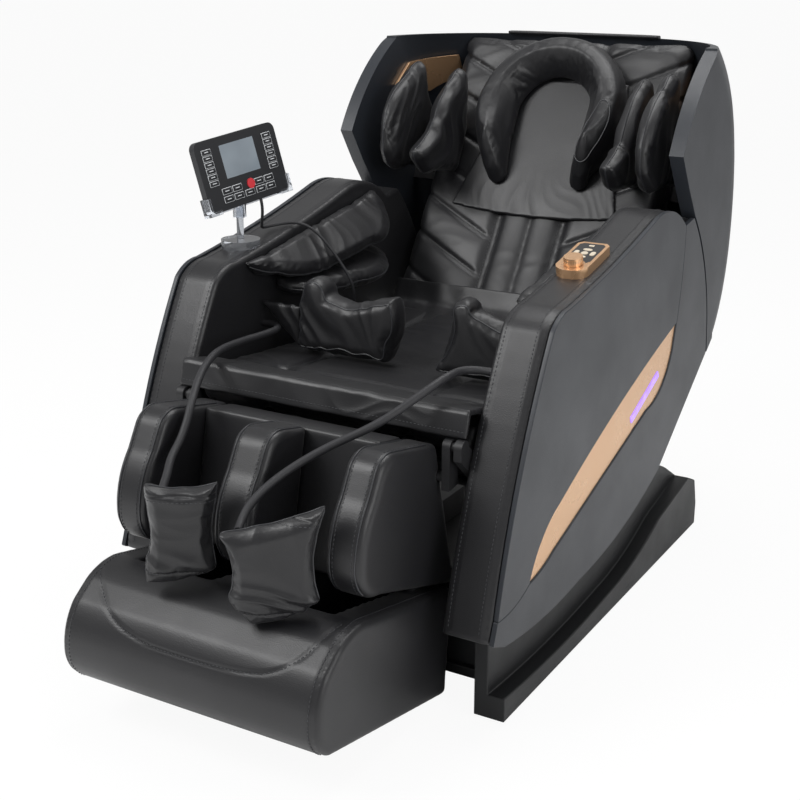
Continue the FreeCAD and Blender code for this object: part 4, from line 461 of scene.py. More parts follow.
def slices(piece, point, normal):
    """Where a plane cuts a piece: closed lines of points in order, the longest first."""
    shape = bmesh.new()
    shape.from_mesh(piece.data)
    cut = bmesh.ops.bisect_plane(shape, geom=shape.verts[:] + shape.edges[:] + shape.faces[:],
                                 plane_co=point, plane_no=normal, dist=1e-7)
    edges = [item for item in cut["geom_cut"] if isinstance(item, bmesh.types.BMEdge)]
    links = {}
    for edge in edges:
        for vertex in edge.verts:
            links.setdefault(vertex, []).append(edge)
    used, lines = set(), []
    for edge in edges:
        if edge in used:
            continue
        line = [edge.verts[0], edge.verts[1]]
        used.add(edge)
        while True:
            after = [other for other in links[line[-1]] if other not in used]
            if not after:
                break
            used.add(after[0])
            line.append(after[0].other_vert(line[-1]))
        lines.append([vertex.co.copy() for vertex in line])
    shape.free()
    lines.sort(key=lambda line: -sum((b - a).length for a, b in zip(line, line[1:])))
    return lines


def cuts(piece, places, test):
    """Where planes across x cut a piece, each kept to the stretch that passes a test."""
    return [kept(slices(piece, SIDEWAYS * place, SIDEWAYS)[0], test) for place in places]


def spaced(line, pitch):
    """Points at an even pitch along a line."""
    points, left = [line[0].copy()], pitch
    for start, end in zip(line, line[1:]):
        run = (end - start).length
        reach = left
        while reach <= run:
            points.append(start.lerp(end, reach / run))
            reach += pitch
        left = reach - run
    return points


def kept(line, test):
    """The longest stretch of a closed line whose points pass a test."""
    passes = [test(point) for point in line]
    if all(passes):
        return line
    first = passes.index(False)
    turned = line[first:] + line[:first]
    best, run = [], []
    for point in turned:
        if test(point):
            run.append(point)
        else:
            best, run = max(best, run, key=len), []
    return max(best, run, key=len)


def seen(piece, pixels):
    """Where the photograph's pixels fall on a piece."""
    tree = BVHTree.FromObject(piece, bpy.context.evaluated_depsgraph_get())
    turn = CAMERA_TURN.to_matrix()
    points = []
    for u, v in pixels:
        ray = turn @ Vector((u - PHOTO_PIXELS / 2, PHOTO_PIXELS / 2 - v, -FOCAL_PIXELS))
        spot = tree.ray_cast(CAMERA_SPOT, ray.normalized())[0]
        if spot is not None:
            points.append(spot)
    return points


def eased(line):
    """Corner cutting, twice: a line of a few points as a smooth one."""
    for _ in range(2):
        points = [line[0]]
        for start, end in zip(line, line[1:]):
            points += [start.lerp(end, 0.25), start.lerp(end, 0.75)]
        line = points + [line[-1]]
    return line


def channelled(piece, lines, width, depth):
    """Presses sewn channels into a piece along the lines."""
    points = [point for line in lines for point in spaced(line, 3 * MM)]
    if not points:
        return piece
    finder = kdtree.KDTree(len(points))
    for number, point in enumerate(points):
        finder.insert(point, number)
    finder.balance()

    def shift(place, normal):
        distance = finder.find(place)[2] / (width * MM)
        if distance >= 1:
            return 0.0
        return -depth * MM * (1 - distance * distance) ** 2

    return moved(piece, shift)


def stitches(name, piece, lines, body, length=4.4, radius=0.75):
    """Rows of thread: one small rounded stitch after another, half sunk in the cover."""
    pitch = settings().pitch
    tree = BVHTree.FromObject(piece, bpy.context.evaluated_depsgraph_get())
    shape = bmesh.new()
    for line in lines:
        points = spaced(line, pitch)
        for start, end in zip(points, points[1:]):
            spot, normal, _, _ = tree.find_nearest((start + end) / 2)
            if spot is None:
                continue
            along = (end - start).normalized()
            side = along.cross(normal)
            if side.length < 0.2:
                continue
            side.normalize()
            rings = []
            for reach, thick in ((-0.5, 0.4), (-0.28, 1.0), (0.28, 1.0), (0.5, 0.4)):
                centre = spot + along * reach * length * MM + normal * 0.25 * MM
                rings.append([
                    shape.verts.new(centre + (side * math.cos(turn) + normal * math.sin(turn))
                                    * radius * thick * MM)
                    for turn in (0.0, math.pi / 3, 2 * math.pi / 3, math.pi, 5 * math.pi / 3)
                ])
            for low, high in zip(rings, rings[1:]):
                banded(shape, low, high)
            shape.faces.new(rings[0][::-1])
            shape.faces.new(rings[-1])
    bmesh.ops.recalc_face_normals(shape, faces=shape.faces)
    return smooth_shaded(linked(name, made(name, shape), "thread", body))


def piping(name, lines, body, radius=None, closed=True):
    """A thin round cord sewn into the edge of a cover."""
    curve = bpy.data.curves.new(name, "CURVE")
    curve.dimensions = "3D"
    curve.bevel_depth = radius or settings().piping
    curve.bevel_resolution = 2
    for line in lines:
        points = spaced(line, 9 * MM)
        if len(points) < 3:
            continue
        spline = curve.splines.new("NURBS")
        spline.points.add(len(points) - 1)
        for target, point in zip(spline.points, points):
            target.co = (*point, 1)
        spline.order_u = 3
        spline.use_cyclic_u = closed
        spline.use_endpoint_u = not closed
    return linked(name, curve, "piping", body)


def soft_block(name, size, rounding, place, turn, key, body, segments):
    """A small moulded block with rolled edges, centred on its place."""
    shape = bmesh.new()
    bmesh.ops.create_cube(shape, size=1)
    bmesh.ops.scale(shape, vec=size, verts=shape.verts)
    bmesh.ops.bevel(shape, geom=shape.edges[:], offset=rounding, segments=segments, profile=0.5,
                    affect="EDGES")
    bmesh.ops.transform(shape, matrix=Matrix.Translation(place) @ turn.to_matrix().to_4x4(),
                        verts=shape.verts)
    return smooth_shaded(linked(name, made(name, shape), key, body))


def dressed(node, key, edge=0.0):
    """Gives a rigid CAD node its material, and rolls its edges by that many millimetres."""
    item = NODES[node]
    item.data.materials.clear()
    item.data.materials.append(finish_for(key))
    item.data.polygons.foreach_set("use_smooth", [True] * len(item.data.polygons))
    item.modifiers.new("Joined", "WELD").merge_threshold = 0.01 * MM
    if edge:
        bevel = item.modifiers.new("Rolled edges", "BEVEL")
        bevel.width = edge * MM
        bevel.segments = 3
        bevel.limit_method = "ANGLE"
        bevel.angle_limit = math.radians(35)
    flat = item.modifiers.new("Flat faces", "WEIGHTED_NORMAL")
    flat.keep_sharp = True
    return item


# ---------------------------------------------------------------- properties

class ChairSkin(bpy.types.PropertyGroup):
    """The leatherette cover and its sewing."""
    colour: bpy.props.FloatVectorProperty(
        name="Leather", description="Colour of the cover", subtype="COLOR", size=3,
        default=linear("#151517")[:3], min=0, max=1)
    worn: bpy.props.FloatVectorProperty(
        name="Worn leather", description="Colour where handling has polished it",
        subtype="COLOR", size=3, default=linear("#1d1d20")[:3], min=0, max=1)
    grain: bpy.props.FloatProperty(
        name="Grain", description="Size of one pebble of the grain", default=0.003,
        min=0.0005, max=0.01, subtype="DISTANCE", unit="LENGTH")
    pitch: bpy.props.FloatProperty(
        name="Stitch pitch", description="From one stitch to the next", default=0.0075,
        min=0.002, max=0.02, subtype="DISTANCE", unit="LENGTH")
    piping: bpy.props.FloatProperty(
        name="Piping", description="Radius of the cord in the edges", default=0.0016,
        min=0.0005, max=0.005, subtype="DISTANCE", unit="LENGTH")
    fold: bpy.props.FloatProperty(
        name="Folds", description="Height of the folds in slack covers", default=0.0028,
        min=0, max=0.008, subtype="DISTANCE", unit="LENGTH")


class ChairTrim(bpy.types.PropertyGroup):
    """Panels, base, trim and lights."""
    panel: bpy.props.FloatVectorProperty(
        name="Side panel", description="Colour of the side panels", subtype="COLOR", size=3,
        default=linear("#1f2227")[:3], min=0, max=1)
    base: bpy.props.FloatVectorProperty(
        name="Base", description="Colour of the base rails", subtype="COLOR", size=3,
        default=linear("#131416")[:3], min=0, max=1)
    gold: bpy.props.FloatVectorProperty(
        name="Trim", description="Colour of the plated trim", subtype="COLOR", size=3,
        default=linear("#e6b98e")[:3], min=0, max=1)
    light: bpy.props.FloatVectorProperty(
        name="Light", description="Colour of the light strips", subtype="COLOR", size=3,
        default=linear("#7446f0")[:3], min=0, max=1)
    glow: bpy.props.FloatProperty(
        name="Glow", description="Strength of the light strips", default=1.1, min=0, max=20)


class ChairStage(bpy.types.PropertyGroup):
    """Floor, lamps and backdrop."""
    backdrop: bpy.props.FloatVectorProperty(
        name="Backdrop", description="Colour of the floor and the world", subtype="COLOR",
        size=3, default=(1.0, 1.0, 1.0), min=0, max=1)
    key: bpy.props.FloatProperty(
        name="Key lamp", description="Power of the main softbox", default=70, min=0, max=1000,
        subtype="POWER", unit="POWER")


# ---------------------------------------------------------------- operators

def settings():
    return bpy.context.scene.chair_skin


class CHAIR_OT_hard_parts(bpy.types.Operator):
    """Base, frame, motors, panels and trim: rolled edges and their own finishes"""
    bl_idname = "chair.hard_parts"
    bl_label = "Panels, base and frame"

    def execute(self, context):
        for node in ("base_rail_left", "base_rail_right"):
            dressed(node, "abs", 3.0)
        for node in ("front_panel", "power_inlet"):
            dressed(node, "abs", 0.8)
        for node in ("arm_panel_left", "arm_panel_right", "lower_panels"):
            dressed(node, "panel", 2.4)
        dressed("back_shell", "panel", 4.0)
        for node in ("trim_blades", "speaker_panels"):
            dressed(node, "gold", 1.2)
        dressed("trim_lights", "light", 0.6)
        for node in ("base_frame", "seat_frame", "back_frame", "leg_frame", "massage_carriage"):
            dressed(node, "enamel", 0.8)
        for node in ("leg_rod", "recline_rod", "tilt_rod"):
            dressed(node, "steel", 0.5)
        for node in ("leg_motor", "recline_motor", "tilt_motor"):
            dressed(node, "cast", 0.8)
        for node in ("control_box", "air_pump"):
            dressed(node, "dark", 2.0)
        for node in ("massage_roller_left", "massage_roller_right", "sole_roller"):
            dressed(node, "wheel", 1.5)
        dressed("rubber_feet", "rubber", 1.0)
        dressed("power_switch", "red", 0.6)
        return {"FINISHED"}


class CHAIR_OT_arms(bpy.types.Operator):
    """Padded arms with a stitched band, and the leaves that close over the forearms"""
    bl_idname = "chair.arms"
    bl_label = "Arms"

    def execute(self, context):
        skin = settings()

        def front(p):
            return p.z > 0.19 and (p.y < -0.19 or p.z > 0.69) and p.y < 0.45

        for side, word in ((1, "left"), (-1, "right")):
            node = f"arm_pad_{word}"
            arm = upholstery(f"arm_cover_{word}", cad_mesh(node), 5.0, 5)
            lines = cuts(arm, [side * place for place in (0.381, 0.3705, 0.312)], front)
            channelled(arm, lines[:1], 4.0, 2.2)
            channelled(arm, lines[2:], 4.0, 1.6)
            stuffed(arm, "seat", 0.9, node)
            stitches(f"arm_stitches_{word}", arm, lines[1:], "seat")
        leaves = [upholstery(f"arm_leaf_{number}", mesh, 5.0, 3, TAKEN_IN)
                  for number, mesh in enumerate(islands(cad_mesh("arm_airbags")))]
        swelled(leaves, 4.0)
        for number, leaf in enumerate(leaves):
            refined(leaf)
            moved(leaf, lambda p, n: skin.fold * 0.8 * ridges(
                p, Vector((0.3, 1, 0)).normalized(), SIDEWAYS, 3.0 + number))
            middle = middle_of(leaf)
            high = middle.z > LEAF_TIER
            slope = Matrix.Rotation(math.radians(LEAF_SLOPE if high else 0), 3, "X")
            droop = math.radians(LEAF_DROOP_HIGH if high else LEAF_DROOP_LOW) * (
                -1 if middle.x > 0 else 1)
            up = slope @ Matrix.Rotation(droop, 3, "Y") @ UP
            stuffed(leaf, "seat", 0.6)
            piping(f"arm_leaf_piping_{number}", slices(leaf, middle, up)[:1], "seat")
        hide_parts("arm_airbags")
        return {"FINISHED"}


def flap_mesh():
    """A thin cover that runs from the top of the seat up the foot of the back pad."""
    route = [(0.272, 0.488), (0.325, 0.4975), (0.346, 0.504), (0.3585, 0.522), (0.372, 0.548)]
    columns, half, thick = 56, 0.276, 0.0022
    shape = bmesh.new()
    rows = []
    for face in (0.0, thick):
        for spot in eased([Vector((0, y, z)) for y, z in route]):
            rows.append([
                shape.verts.new((half * (2 * step / columns - 1), spot.y - face * 0.7,
                                 spot.z + face * 0.7))
                for step in range(columns + 1)])
    count = len(rows) // 2
    for first in (0, count):
        for low, high in zip(rows[first:first + count - 1], rows[first + 1:first + count]):
            for step in range(columns):
                corners = (low[step], low[step + 1], high[step + 1], high[step])
                shape.faces.new(corners if first else corners[::-1])
    rim = [*rows[0], *(row[-1] for row in rows[1:count]), *rows[count - 1][-2::-1],
           *(row[0] for row in rows[count - 2:0:-1])]
    over = [*rows[count], *(row[-1] for row in rows[count + 1:]), *rows[-1][-2::-1],
            *(row[0] for row in rows[-2:count:-1])]
    banded(shape, rim, over)
    bmesh.ops.recalc_face_normals(shape, faces=shape.faces)
    return made("flap", shape)


class CHAIR_OT_seat(bpy.types.Operator):
    """Seat cushion with its sewn channels, the curtain over its roll, and the hip bags"""
    bl_idname = "chair.seat"
    bl_label = "Seat"

    def execute(self, context):
        skin = settings()
        seat = upholstery("seat_cover", cad_mesh("seat_cushion"), 6.0, 4, 4.0)
        swelled([seat], 5.0)

        def gathers(place, normal):
            if normal.z < 0.1 and normal.y > -0.3:
                return 0.0
            reach = min(1.0, abs(place.x) / 0.15)
            return 1.8 * MM * ridges(place, Vector((0.35, 1, 0)).normalized(), SIDEWAYS, 11.0) * (
                0.35 + 0.65 * reach)

        moved(seat, gathers)
        stuffed(seat, "seat", 0.75, "seat_cushion")
        rows = cuts(seat, (-0.158, 0.158), lambda p: p.z > 0.48 or p.y < -0.31)
        across = slices(seat, Vector((0, -0.262, 0)), Vector((0, 1, 0)))
        roll = [kept(across[0], lambda p: p.z > 0.48)]
        channelled(seat, rows, 6.0, 3.2)
        channelled(seat, roll, 16.0, 5.0)
        stitches("seat_stitches", seat, rows, "seat")

        curtain = upholstery("seat_curtain_cover", cad_mesh("seat_curtain"), 2.6, 2)
        moved(curtain, lambda p, n: 2.2 * MM * ridges(
            p, Vector((0.12, 0.5, 1)).normalized(), Vector((1, 0, -0.12)).normalized(), 5.0))
        stuffed(curtain, "seat", 0.3, "seat_curtain")
        hem = slices(curtain, Vector((0, 0, 0.512)), UP)
        front = [kept(line, lambda p: p.y < -0.385) for line in hem[:1]]
        stitches("curtain_stitches", curtain, front, "seat")

        flap = smooth_shaded(linked("seat_back_flap", flap_mesh(), "leather", None))
        moved(flap, lambda p, n: 1.6 * MM * ridges(
            p, Vector((1, 0.2, 0)).normalized(), Vector((0, 0.7, 0.7)), 14.0))
        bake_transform(flap)

        # The first island is the thin gusset, which isn't taken in.
        bags = [upholstery(f"hip_bag_{number}", mesh, 5.0, 3 if number else 1,
                           TAKEN_IN if number else 0.0)
                for number, mesh in enumerate(islands(cad_mesh("hip_airbags")))]
        swelled(bags, 5.0)
        for number, bag in enumerate(bags):
            refined(bag)
            moved(bag, lambda p, n: skin.fold * ridges(
                p, Vector((1, 0, 0.5)).normalized(), Vector((-0.5, 0, 1)).normalized(),
                21.0 + number))
            stuffed(bag, "seat", 0.6)
        rims = []
        for bag in bags[-2:]:
            face = min(v.co.y for v in bag.data.vertices)
            rims += slices(bag, Vector((0, face + 9 * MM, 0)), Vector((0, 1, 0)))[:1]
        piping("hip_bag_piping", rims, "seat")
        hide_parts("hip_airbags")
        return {"FINISHED"}


class CHAIR_OT_back(bpy.types.Operator):
    """Back pad with its strips and pleats, the strap over the top, and the shoulder leaves"""
    bl_idname = "chair.back"
    bl_label = "Back"

    def execute(self, context):
        skin = settings()
        pad = upholstery("back_cover", cad_mesh("back_pad"), 6.0, 3, TAKEN_IN)
        swelled([pad], 4.0)

        def pleats(place, normal):
            if normal.y > 0.2:
                return 0.0
            middle, seam_pitch, rise = 0.085, 0.076, 0.42
            reach = abs(place.x)
            if reach < middle:
                return 0.8 * MM * ridges(place, UP, SIDEWAYS, 31.0)
            # Quilted side panels, whose seams rise towards the middle.
            level = place.z - (reach - middle) * rise
            phase = (level % seam_pitch) / seam_pitch - 0.5
            fade = min(1.0, (reach - middle) / 0.02)
            seam = math.exp(-(phase / 0.055) ** 2)
            crown = 1 - 4 * (abs(phase) - 0.5) ** 2
            return fade * (-5.0 * MM * seam + 2.5 * MM * crown) + 0.7 * MM * ridges(
                place, Vector((0, 0.4, 1)).normalized(), SIDEWAYS, 37.0)

        moved(pad, pleats)
        stuffed(pad, "back", 0.8, "back_pad")
        rows = cuts(pad, (-0.0845, -0.0695, 0.0695, 0.0845),
                    lambda p: p.y < 0.35 + (p.z - 0.45) * 0.62)
        stitches("back_stitches", pad, rows, "back")

        strap = upholstery("top_strap_cover", cad_mesh("top_strap"), 2.6, 2)
        stuffed(strap, "back", 0.2, "top_strap")

        leaves = [upholstery(f"shoulder_leaf_{number}", mesh, 5.0, 3, TAKEN_IN)
                  for number, mesh in enumerate(islands(cad_mesh("shoulder_airbags")))]
        swelled(leaves, 4.5)
        for number, leaf in enumerate(leaves):
            refined(leaf)
            moved(leaf, lambda p, n: skin.fold * 1.2 * ridges(
                p, Vector((0, 1, -0.4)).normalized(), Vector((0, 0.4, 1)).normalized(),
                41.0 + number))
            stuffed(leaf, "back", 0.5)
            piping(f"shoulder_piping_{number}", slices(leaf, middle_of(leaf), SIDEWAYS)[:1],
                   "back")
        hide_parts("shoulder_airbags")
        return {"FINISHED"}


class CHAIR_OT_pillow(bpy.types.Operator):
    """Horseshoe pillow with piped edges, on the mat that hangs down the back"""
    bl_idname = "chair.pillow"
    bl_label = "Pillow"

    def execute(self, context):
        pillow = upholstery("pillow_cover", cad_mesh("pillow"), 5.0, 2, TAKEN_IN)
        swelled([pillow], 5.0, 4.0)
        refined(pillow)
        moved(pillow, lambda p, n: 1.0 * MM * ridges(
            p, SIDEWAYS, Vector((0, 0.4, 1)).normalized(), 51.0))
        tilt = math.radians(24)
        facing = Vector((0, -math.cos(tilt), math.sin(tilt)))
        face = max(vertex.co.dot(facing) for vertex in pillow.data.vertices)
        rims = slices(pillow, facing * (face - 0.022), facing)[:1]
        piping("pillow_piping", rims, "back")
        stuffed(pillow, "back", 0.9, "pillow")
        mat = upholstery("pillow_mat_cover", cad_mesh("pillow_mat"), 2.8, 2)

        def drape(place, normal):
            low = max(0.0, (0.80 - place.z) / 0.1)
            return 1.2 * MM * low * ridges(place, Vector((1, 0, 0.2)).normalized(),
                                           Vector((0, 0.4, 1)).normalized(), 61.0)

        moved(mat, drape)
        stuffed(mat, "back", 0.2, "pillow_mat")
        return {"FINISHED"}


class CHAIR_OT_leg_rest(bpy.types.Operator):
    """Calf trough, its piped walls and the pouches that hang in front of it"""
    bl_idname = "chair.leg_rest"
    bl_label = "Leg rest"

    def execute(self, context):
        skin = settings()
        trough = upholstery("calf_back_cover", cad_mesh("calf_back"), 6.0, 3)
        stuffed(trough, "legrest", 0.7, "calf_back")
        walls = [upholstery(f"calf_wall_{number}", mesh, 5.0, 3)
                 for number, mesh in enumerate(islands(cad_mesh("calf_walls")))]
        edges = ((-0.2405, -0.1935), (-0.029, 0.029), (0.1935, 0.2405))
        for number, (wall, (low, high)) in enumerate(zip(walls, edges)):
            lines, rows = (
                cuts(wall, (low + inward, high - inward), lambda p: p.z > 0.30 and p.y < -0.42)
                for inward in (0.0, 0.006))
            channelled(wall, lines, 3.5, 1.4)
            stuffed(wall, "legrest", 0.9)
            piping(f"calf_piping_{number}", lines, "legrest", 1.5 * MM, closed=False)
            stitches(f"calf_stitches_{number}", wall, rows, "legrest")
        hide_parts("calf_walls")

        pouches = [upholstery(f"foot_pouch_{number}", mesh, 4.0, 3, TAKEN_IN)
                   for number, mesh in enumerate(islands(cad_mesh("foot_pouches")))]
        swelled(pouches, 4.5)
        facing = Vector((0.5, -0.866, 0))
        for number, pouch in enumerate(pouches):
            refined(pouch)
            low = min(v.co.z for v in pouch.data.vertices)
            high = max(v.co.z for v in pouch.data.vertices)

            def folds(place, normal):
                level = (place.z - low) / (high - low)
                ends = math.exp(-((level - 0.2) / 0.12) ** 2) + 0.9 * math.exp(
                    -((level - 0.82) / 0.12) ** 2)
                return skin.fold * 1.5 * (0.2 + ends) * ridges(
                    place, Vector((0.2, 0, 1)).normalized(), Vector((0.87, 0.5, 0)),
                    71.0 + number)

            moved(pouch, folds)
            hems = [slices(pouch, UP * level, UP)[0]
                    for level in (high - 0.017, high - 0.026, low + 0.02)]
            channelled(pouch, hems[:1] + hems[2:], 4.0, 1.8)
            rims = slices(pouch, middle_of(pouch), facing)[:1]
            stitches(f"pouch_stitches_{number}", pouch, hems[1:], "legrest")
            stuffed(pouch, "legrest", 0.4)
            piping(f"pouch_piping_{number}", rims, "legrest")
        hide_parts("foot_pouches")
        return {"FINISHED"}


class CHAIR_OT_foot_box(bpy.types.Operator):
    """Foot box with its sewn oval, channelled and stitched side edges and the steel rods it slides
    on
    """
    bl_idname = "chair.foot_box"
    bl_label = "Foot box"

    def execute(self, context):
        def outside(p):
            return p.z > 0.03 and p.y < -0.40 and (p.z > 0.2 or p.y < -0.6)

        parts = islands(cad_mesh("foot_box"))
        parts.sort(key=lambda mesh: -len(mesh.vertices))
        box = upholstery("foot_box_cover", parts[0], 5.0, 4)
        oval = eased(seen(box, FOOT_SEAM_PIXELS))
        edges = cuts(box, (-0.249, 0.249), outside)
        channelled(box, [oval], 5.0, 2.4)
        channelled(box, edges, 4.0, 2.6)
        stuffed(box, "footbox", 0.95, "foot_box")
        rows = cuts(box, (-0.2425, 0.2425), outside)
        stitches("foot_box_stitches", box, rows + [oval], "footbox")
        for number, mesh in enumerate(parts[1:]):
            slide = linked(f"slide_rod_{number}", mesh, "steel", "footbox")
            smooth_shaded(slide)
            edge = slide.modifiers.new("Rolled edges", "BEVEL")
            edge.width = 1.0 * MM
            edge.segments = 2
            edge.limit_method = "ANGLE"
            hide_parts("foot_box")
        return {"FINISHED"}


class CHAIR_OT_controller(bpy.types.Operator):
    """The dial, its keys and the black fascia round them"""
    bl_idname = "chair.controller"
    bl_label = "Arm controller"

    def execute(self, context):
        dressed("controller_housing", "gold", 1.6)
        dressed("controller_knob", "gold", 1.6)
        turn = Matrix.Rotation(math.radians(POD_SLOPE), 3, "X")

        def on_pod(x, y, z):
            return POD_SPOT + turn @ (Vector((x, y, z)) * MM)

        shape = bmesh.new()
        rings = ([], [])
        for step in range(DIAL_RIBS):
            angle = step / DIAL_RIBS * 2 * math.pi
            radius = 17.6 + (0.22 if step % 2 else 0.08)
            for ring, height in zip(rings, (22.5, 32.0)):
                ring.append(shape.verts.new(on_pod(
                    radius * math.cos(angle), DIAL_CENTRE + radius * math.sin(angle), height)))
        banded(shape, *rings)
        mesh = made("grip", shape)
        grip = linked("knob_grip", mesh, "gold", "knob")
        thick = grip.modifiers.new("Wall", "SOLIDIFY")
        thick.thickness = 0.6 * MM
        thick.offset = -1
        # The fascia runs round the dial, and is thin enough for a pressed key to stand proud.
        bay = [math.radians(155 - 10 * step) for step in range(14)]
        rim = [(25, 53), (19, 59), (-19, 59), (-25, 53), (-25, -18),
               *((21 * math.cos(a), DIAL_CENTRE + 21 * math.sin(a)) for a in bay), (25, -18)]
        shape = bmesh.new()
        low, high = ([shape.verts.new(on_pod(x, y, POD_FACE + level)) for x, y in rim]
                     for level in (-0.1, 0.15))
        shape.faces.new(high)
        shape.faces.new(low[::-1])
        banded(shape, low, high)
        bmesh.ops.recalc_face_normals(shape, faces=shape.faces)
        linked("pod_fascia", made("fascia", shape), "fascia", "seat")
        for word in ("back", "front", "left", "right", "start", "heat"):
            dressed(f"key_{word}", "cream", 0.5)
        return {"FINISHED"}


class CHAIR_OT_tablet(bpy.types.Operator):
    """The tablet with its keys and display, in its clear cradle on the arm"""
    bl_idname = "chair.tablet"
    bl_label = "Tablet"

    def execute(self, context):
        for node, finish, edge in (("case", "tablet", 3.0), ("screen", "display", 0.0),
                                   ("power", "red", 0.8), ("cradle", "clear", 0.8),
                                   ("stand", "clear", 1.5)):
            dressed("tablet_" + node, finish, edge)
        turn = Matrix.Identity(3)
        for angle, axis in zip(TABLET_TURN, "ZXY"):
            turn = turn @ Matrix.Rotation(math.radians(angle), 3, axis)
        upright = turn.to_euler()

        def key(name, u, v, wide, high):
            """A key as a white rim, a dark cap in it, and a plain bar for its legend."""
            for ending, size, rounding, depth, finish, segments in (
                    ("_rim", (wide, 1.0, high), 0.3, -0.6, "white", 2),
                    ("", (wide - 1.8, 1.0, high - 1.8), 0.4, -1.1, "tablet", 2),
                    ("_mark", (wide * 0.45, 0.6, 1.7), 0.2, -1.5, "white", 1)):
                place = TABLET_SPOT + turn @ (Vector((u, depth, v)) * MM)
                soft_block(name + ending, Vector(size) * MM, rounding * MM, place, upright,
                           finish, "tablet", segments)

        for side, name in ((-1, "near"), (1, "far")):
            for row in range(6):
                key(f"key_{name}_{row}", side * 82, 47 - row * 12.2, 24.0, 10.6)
        for row, places in enumerate(((-56, -28, 32, 60), (-56, -28, 2, 32, 60))):
            for number, u in enumerate(places):
                key(f"key_low_{row}_{number}", u, -34 - row * 16, 25.0, 12.5)
        return {"FINISHED"}


def smooth_line(name, route, radius):
    """A NURBS curve with a route's points as its control points."""
    curve = bpy.data.curves.new(name, "CURVE")
    curve.dimensions = "3D"
    curve.resolution_u = 12
    curve.bevel_depth = radius * MM
    curve.bevel_resolution = 6
    curve.use_fill_caps = True
    spline = curve.splines.new("NURBS")
    spline.points.add(len(route) - 1)
    for target, point in zip(spline.points, route):
        target.co = (*(Vector(point) * MM), 1)
    spline.order_u = 3
    spline.use_endpoint_u = True
    return curve


def centre_line(name, route):
    """The points of a route's smooth line, and its length."""
    curve = smooth_line(name + "_line", route, 0.0)
    curve.use_fill_caps = False
    item = bpy.data.objects.new(name + "_line", curve)
    bpy.context.scene.collection.objects.link(item)
    bpy.context.view_layer.update()
    mesh = evaluated(item)
    points = [vertex.co.copy() for vertex in mesh.vertices]
    bpy.data.objects.remove(item)
    bpy.data.curves.remove(curve)
    bpy.data.meshes.remove(mesh)
    return points, sum((b - a).length for a, b in zip(points, points[1:]))


class CHAIR_OT_cords(bpy.types.Operator):
    """The two hoses to the pouches and the cable of the tablet"""
    bl_idname = "chair.cords"
    bl_label = "Hoses and cable"

    def execute(self, context):
        for name, node, route in (
                ("pouch_hose_tube_right", "pouch_hose_right", POUCH_HOSE_RIGHT),
                ("pouch_hose_tube_left", "pouch_hose_left", POUCH_HOSE_LEFT)):
            path, length = centre_line(name, route)
            curve = linked(name + "_curve", smooth_line(name, route, HOSE_RADIUS), "hose", None)
            bpy.context.view_layer.update()
            mesh = evaluated(curve)
            bpy.data.objects.remove(curve)
            hose = linked(name, mesh, "hose", None)
            smooth_shaded(hose)
            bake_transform(hose)
            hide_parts(node)
        path, length = centre_line("tablet_cable", TABLET_CABLE)
        curve = smooth_line("tablet_lead", TABLET_CABLE, CABLE_RADIUS)
        cable = linked("tablet_lead", curve, "hose", "seat")
        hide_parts("tablet_cable")
        return {"FINISHED"}


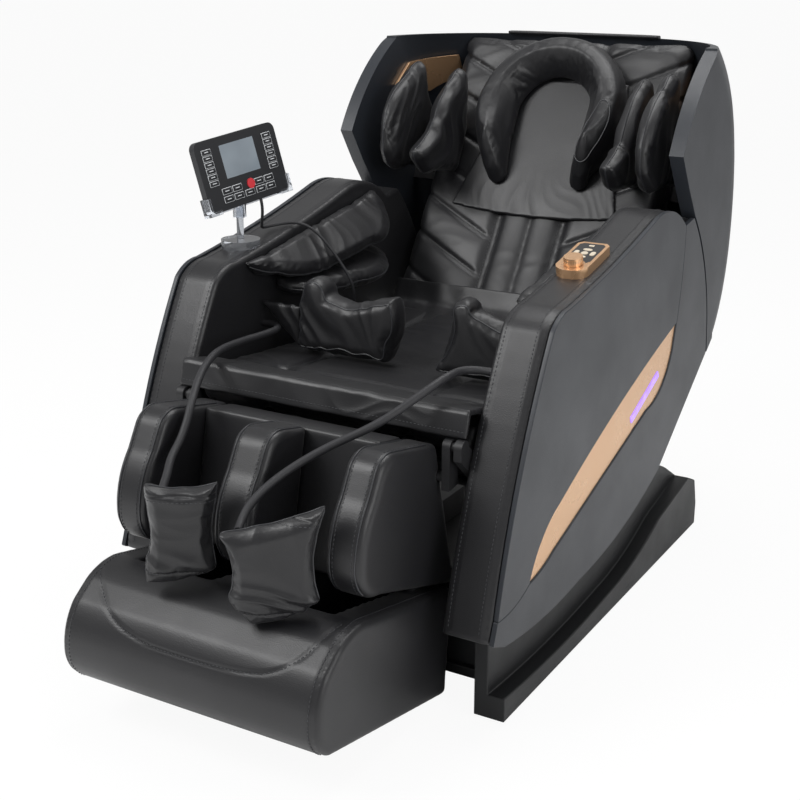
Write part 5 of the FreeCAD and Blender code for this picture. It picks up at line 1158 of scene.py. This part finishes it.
class CHAIR_OT_stage(bpy.types.Operator):
    """White floor, softboxes and the camera"""
    bl_idname = "chair.stage"
    bl_label = "Stage"

    def execute(self, context):
        scene = context.scene
        scene.view_settings.view_transform = "Standard"
        stage = scene.chair_stage
        shape = bmesh.new()
        bmesh.ops.create_grid(shape, x_segments=1, y_segments=1, size=60)
        floor = bpy.data.objects.new("floor", made("floor", shape))
        scene.collection.objects.link(floor)
        floor.location.z = -0.0005
        material, tree, _ = blank("White paper floor")
        white = (*stage.backdrop, 1)
        path = add(tree, "ShaderNodeLightPath")
        paper = add(tree, "ShaderNodeBsdfDiffuse", Color=white)
        bright = add(tree, "ShaderNodeEmission", Color=white, Strength=1.0)
        share = add(tree, "ShaderNodeMath", {"operation": "MULTIPLY"}, i0=path.outputs[0], i1=0.93)
        mix = add(tree, "ShaderNodeMixShader", i0=share.outputs[0], i1=paper.outputs[0],
                  i2=bright.outputs[0])
        finished(material, tree, mix)
        floor.data.materials.append(material)

        world = bpy.data.worlds.new("Studio")
        scene.world = world
        world.use_nodes = True
        tree = world.node_tree
        tree.nodes.clear()
        path = add(tree, "ShaderNodeLightPath")
        clear = add(tree, "ShaderNodeMath", {"operation": "MAXIMUM"}, i0=path.outputs[0],
                    i1=path.outputs["Is Transmission Ray"])
        dim = add(tree, "ShaderNodeBackground", Color=white, Strength=0.42)
        full = add(tree, "ShaderNodeBackground", Color=white, Strength=1.0)
        mix = add(tree, "ShaderNodeMixShader", i0=clear.outputs[0], i1=dim.outputs[0],
                  i2=full.outputs[0])
        add(tree, "ShaderNodeOutputWorld", Surface=mix.outputs[0])

        for name, spot, aim, size, power in (
                ("Key softbox", (-1.6, -2.2, 2.9), (0, -0.1, 0.5), 1.6, stage.key),
                ("Fill softbox", (3.0, -1.2, 1.6), (0, 0, 0.5), 1.8, stage.key * 0.45),
                ("Top softbox", (0.2, 0.6, 3.2), (0, 0, 0.6), 1.8, stage.key * 0.6)):
            data = bpy.data.lights.new(name, "AREA")
            data.shape = "SQUARE"
            data.size = size
            data.energy = power
            lamp = bpy.data.objects.new(name, data)
            scene.collection.objects.link(lamp)
            lamp.location = spot
            lamp.rotation_euler = (Vector(aim) - Vector(spot)).to_track_quat("-Z", "Y").to_euler()
        data = bpy.data.cameras.new("Camera")
        data.sensor_fit = "HORIZONTAL"
        data.sensor_width = 36
        data.lens = FOCAL_PIXELS * data.sensor_width / PHOTO_PIXELS
        camera = bpy.data.objects.new("Camera", data)
        scene.collection.objects.link(camera)
        camera.location = CAMERA_SPOT
        camera.rotation_euler = CAMERA_TURN
        scene.camera = camera
        return {"FINISHED"}


class CHAIR_PT_panel(bpy.types.Panel):
    """Lists the pieces of the chair"""
    bl_label = "Massage chair"
    bl_idname = "CHAIR_PT_panel"
    bl_space_type = "VIEW_3D"
    bl_region_type = "UI"
    bl_category = "Chair"

    def draw(self, context):
        for group in (context.scene.chair_skin, context.scene.chair_trim,
                      context.scene.chair_stage):
            box = self.layout.box()
            for name in group.__annotations__:
                box.prop(group, name)
        for operator in OPERATORS:
            self.layout.operator(operator.bl_idname)


OPERATORS = (
    CHAIR_OT_hard_parts, CHAIR_OT_arms, CHAIR_OT_seat, CHAIR_OT_back, CHAIR_OT_pillow,
    CHAIR_OT_leg_rest, CHAIR_OT_foot_box, CHAIR_OT_controller, CHAIR_OT_tablet, CHAIR_OT_cords,
    CHAIR_OT_stage,
)
CLASSES = (ChairSkin, ChairTrim, ChairStage, *OPERATORS, CHAIR_PT_panel)


def register():
    for item in CLASSES:
        bpy.utils.register_class(item)
    bpy.types.Scene.chair_skin = bpy.props.PointerProperty(type=ChairSkin)
    bpy.types.Scene.chair_trim = bpy.props.PointerProperty(type=ChairTrim)
    bpy.types.Scene.chair_stage = bpy.props.PointerProperty(type=ChairStage)


def unregister():
    del bpy.types.Scene.chair_stage, bpy.types.Scene.chair_trim, bpy.types.Scene.chair_skin
    for item in reversed(CLASSES):
        bpy.utils.unregister_class(item)


def main():
    register()
    for operator in OPERATORS:
        group, name = operator.bl_idname.split(".")
        getattr(getattr(bpy.ops, group), name)()


if __name__ == "__main__":
    main()
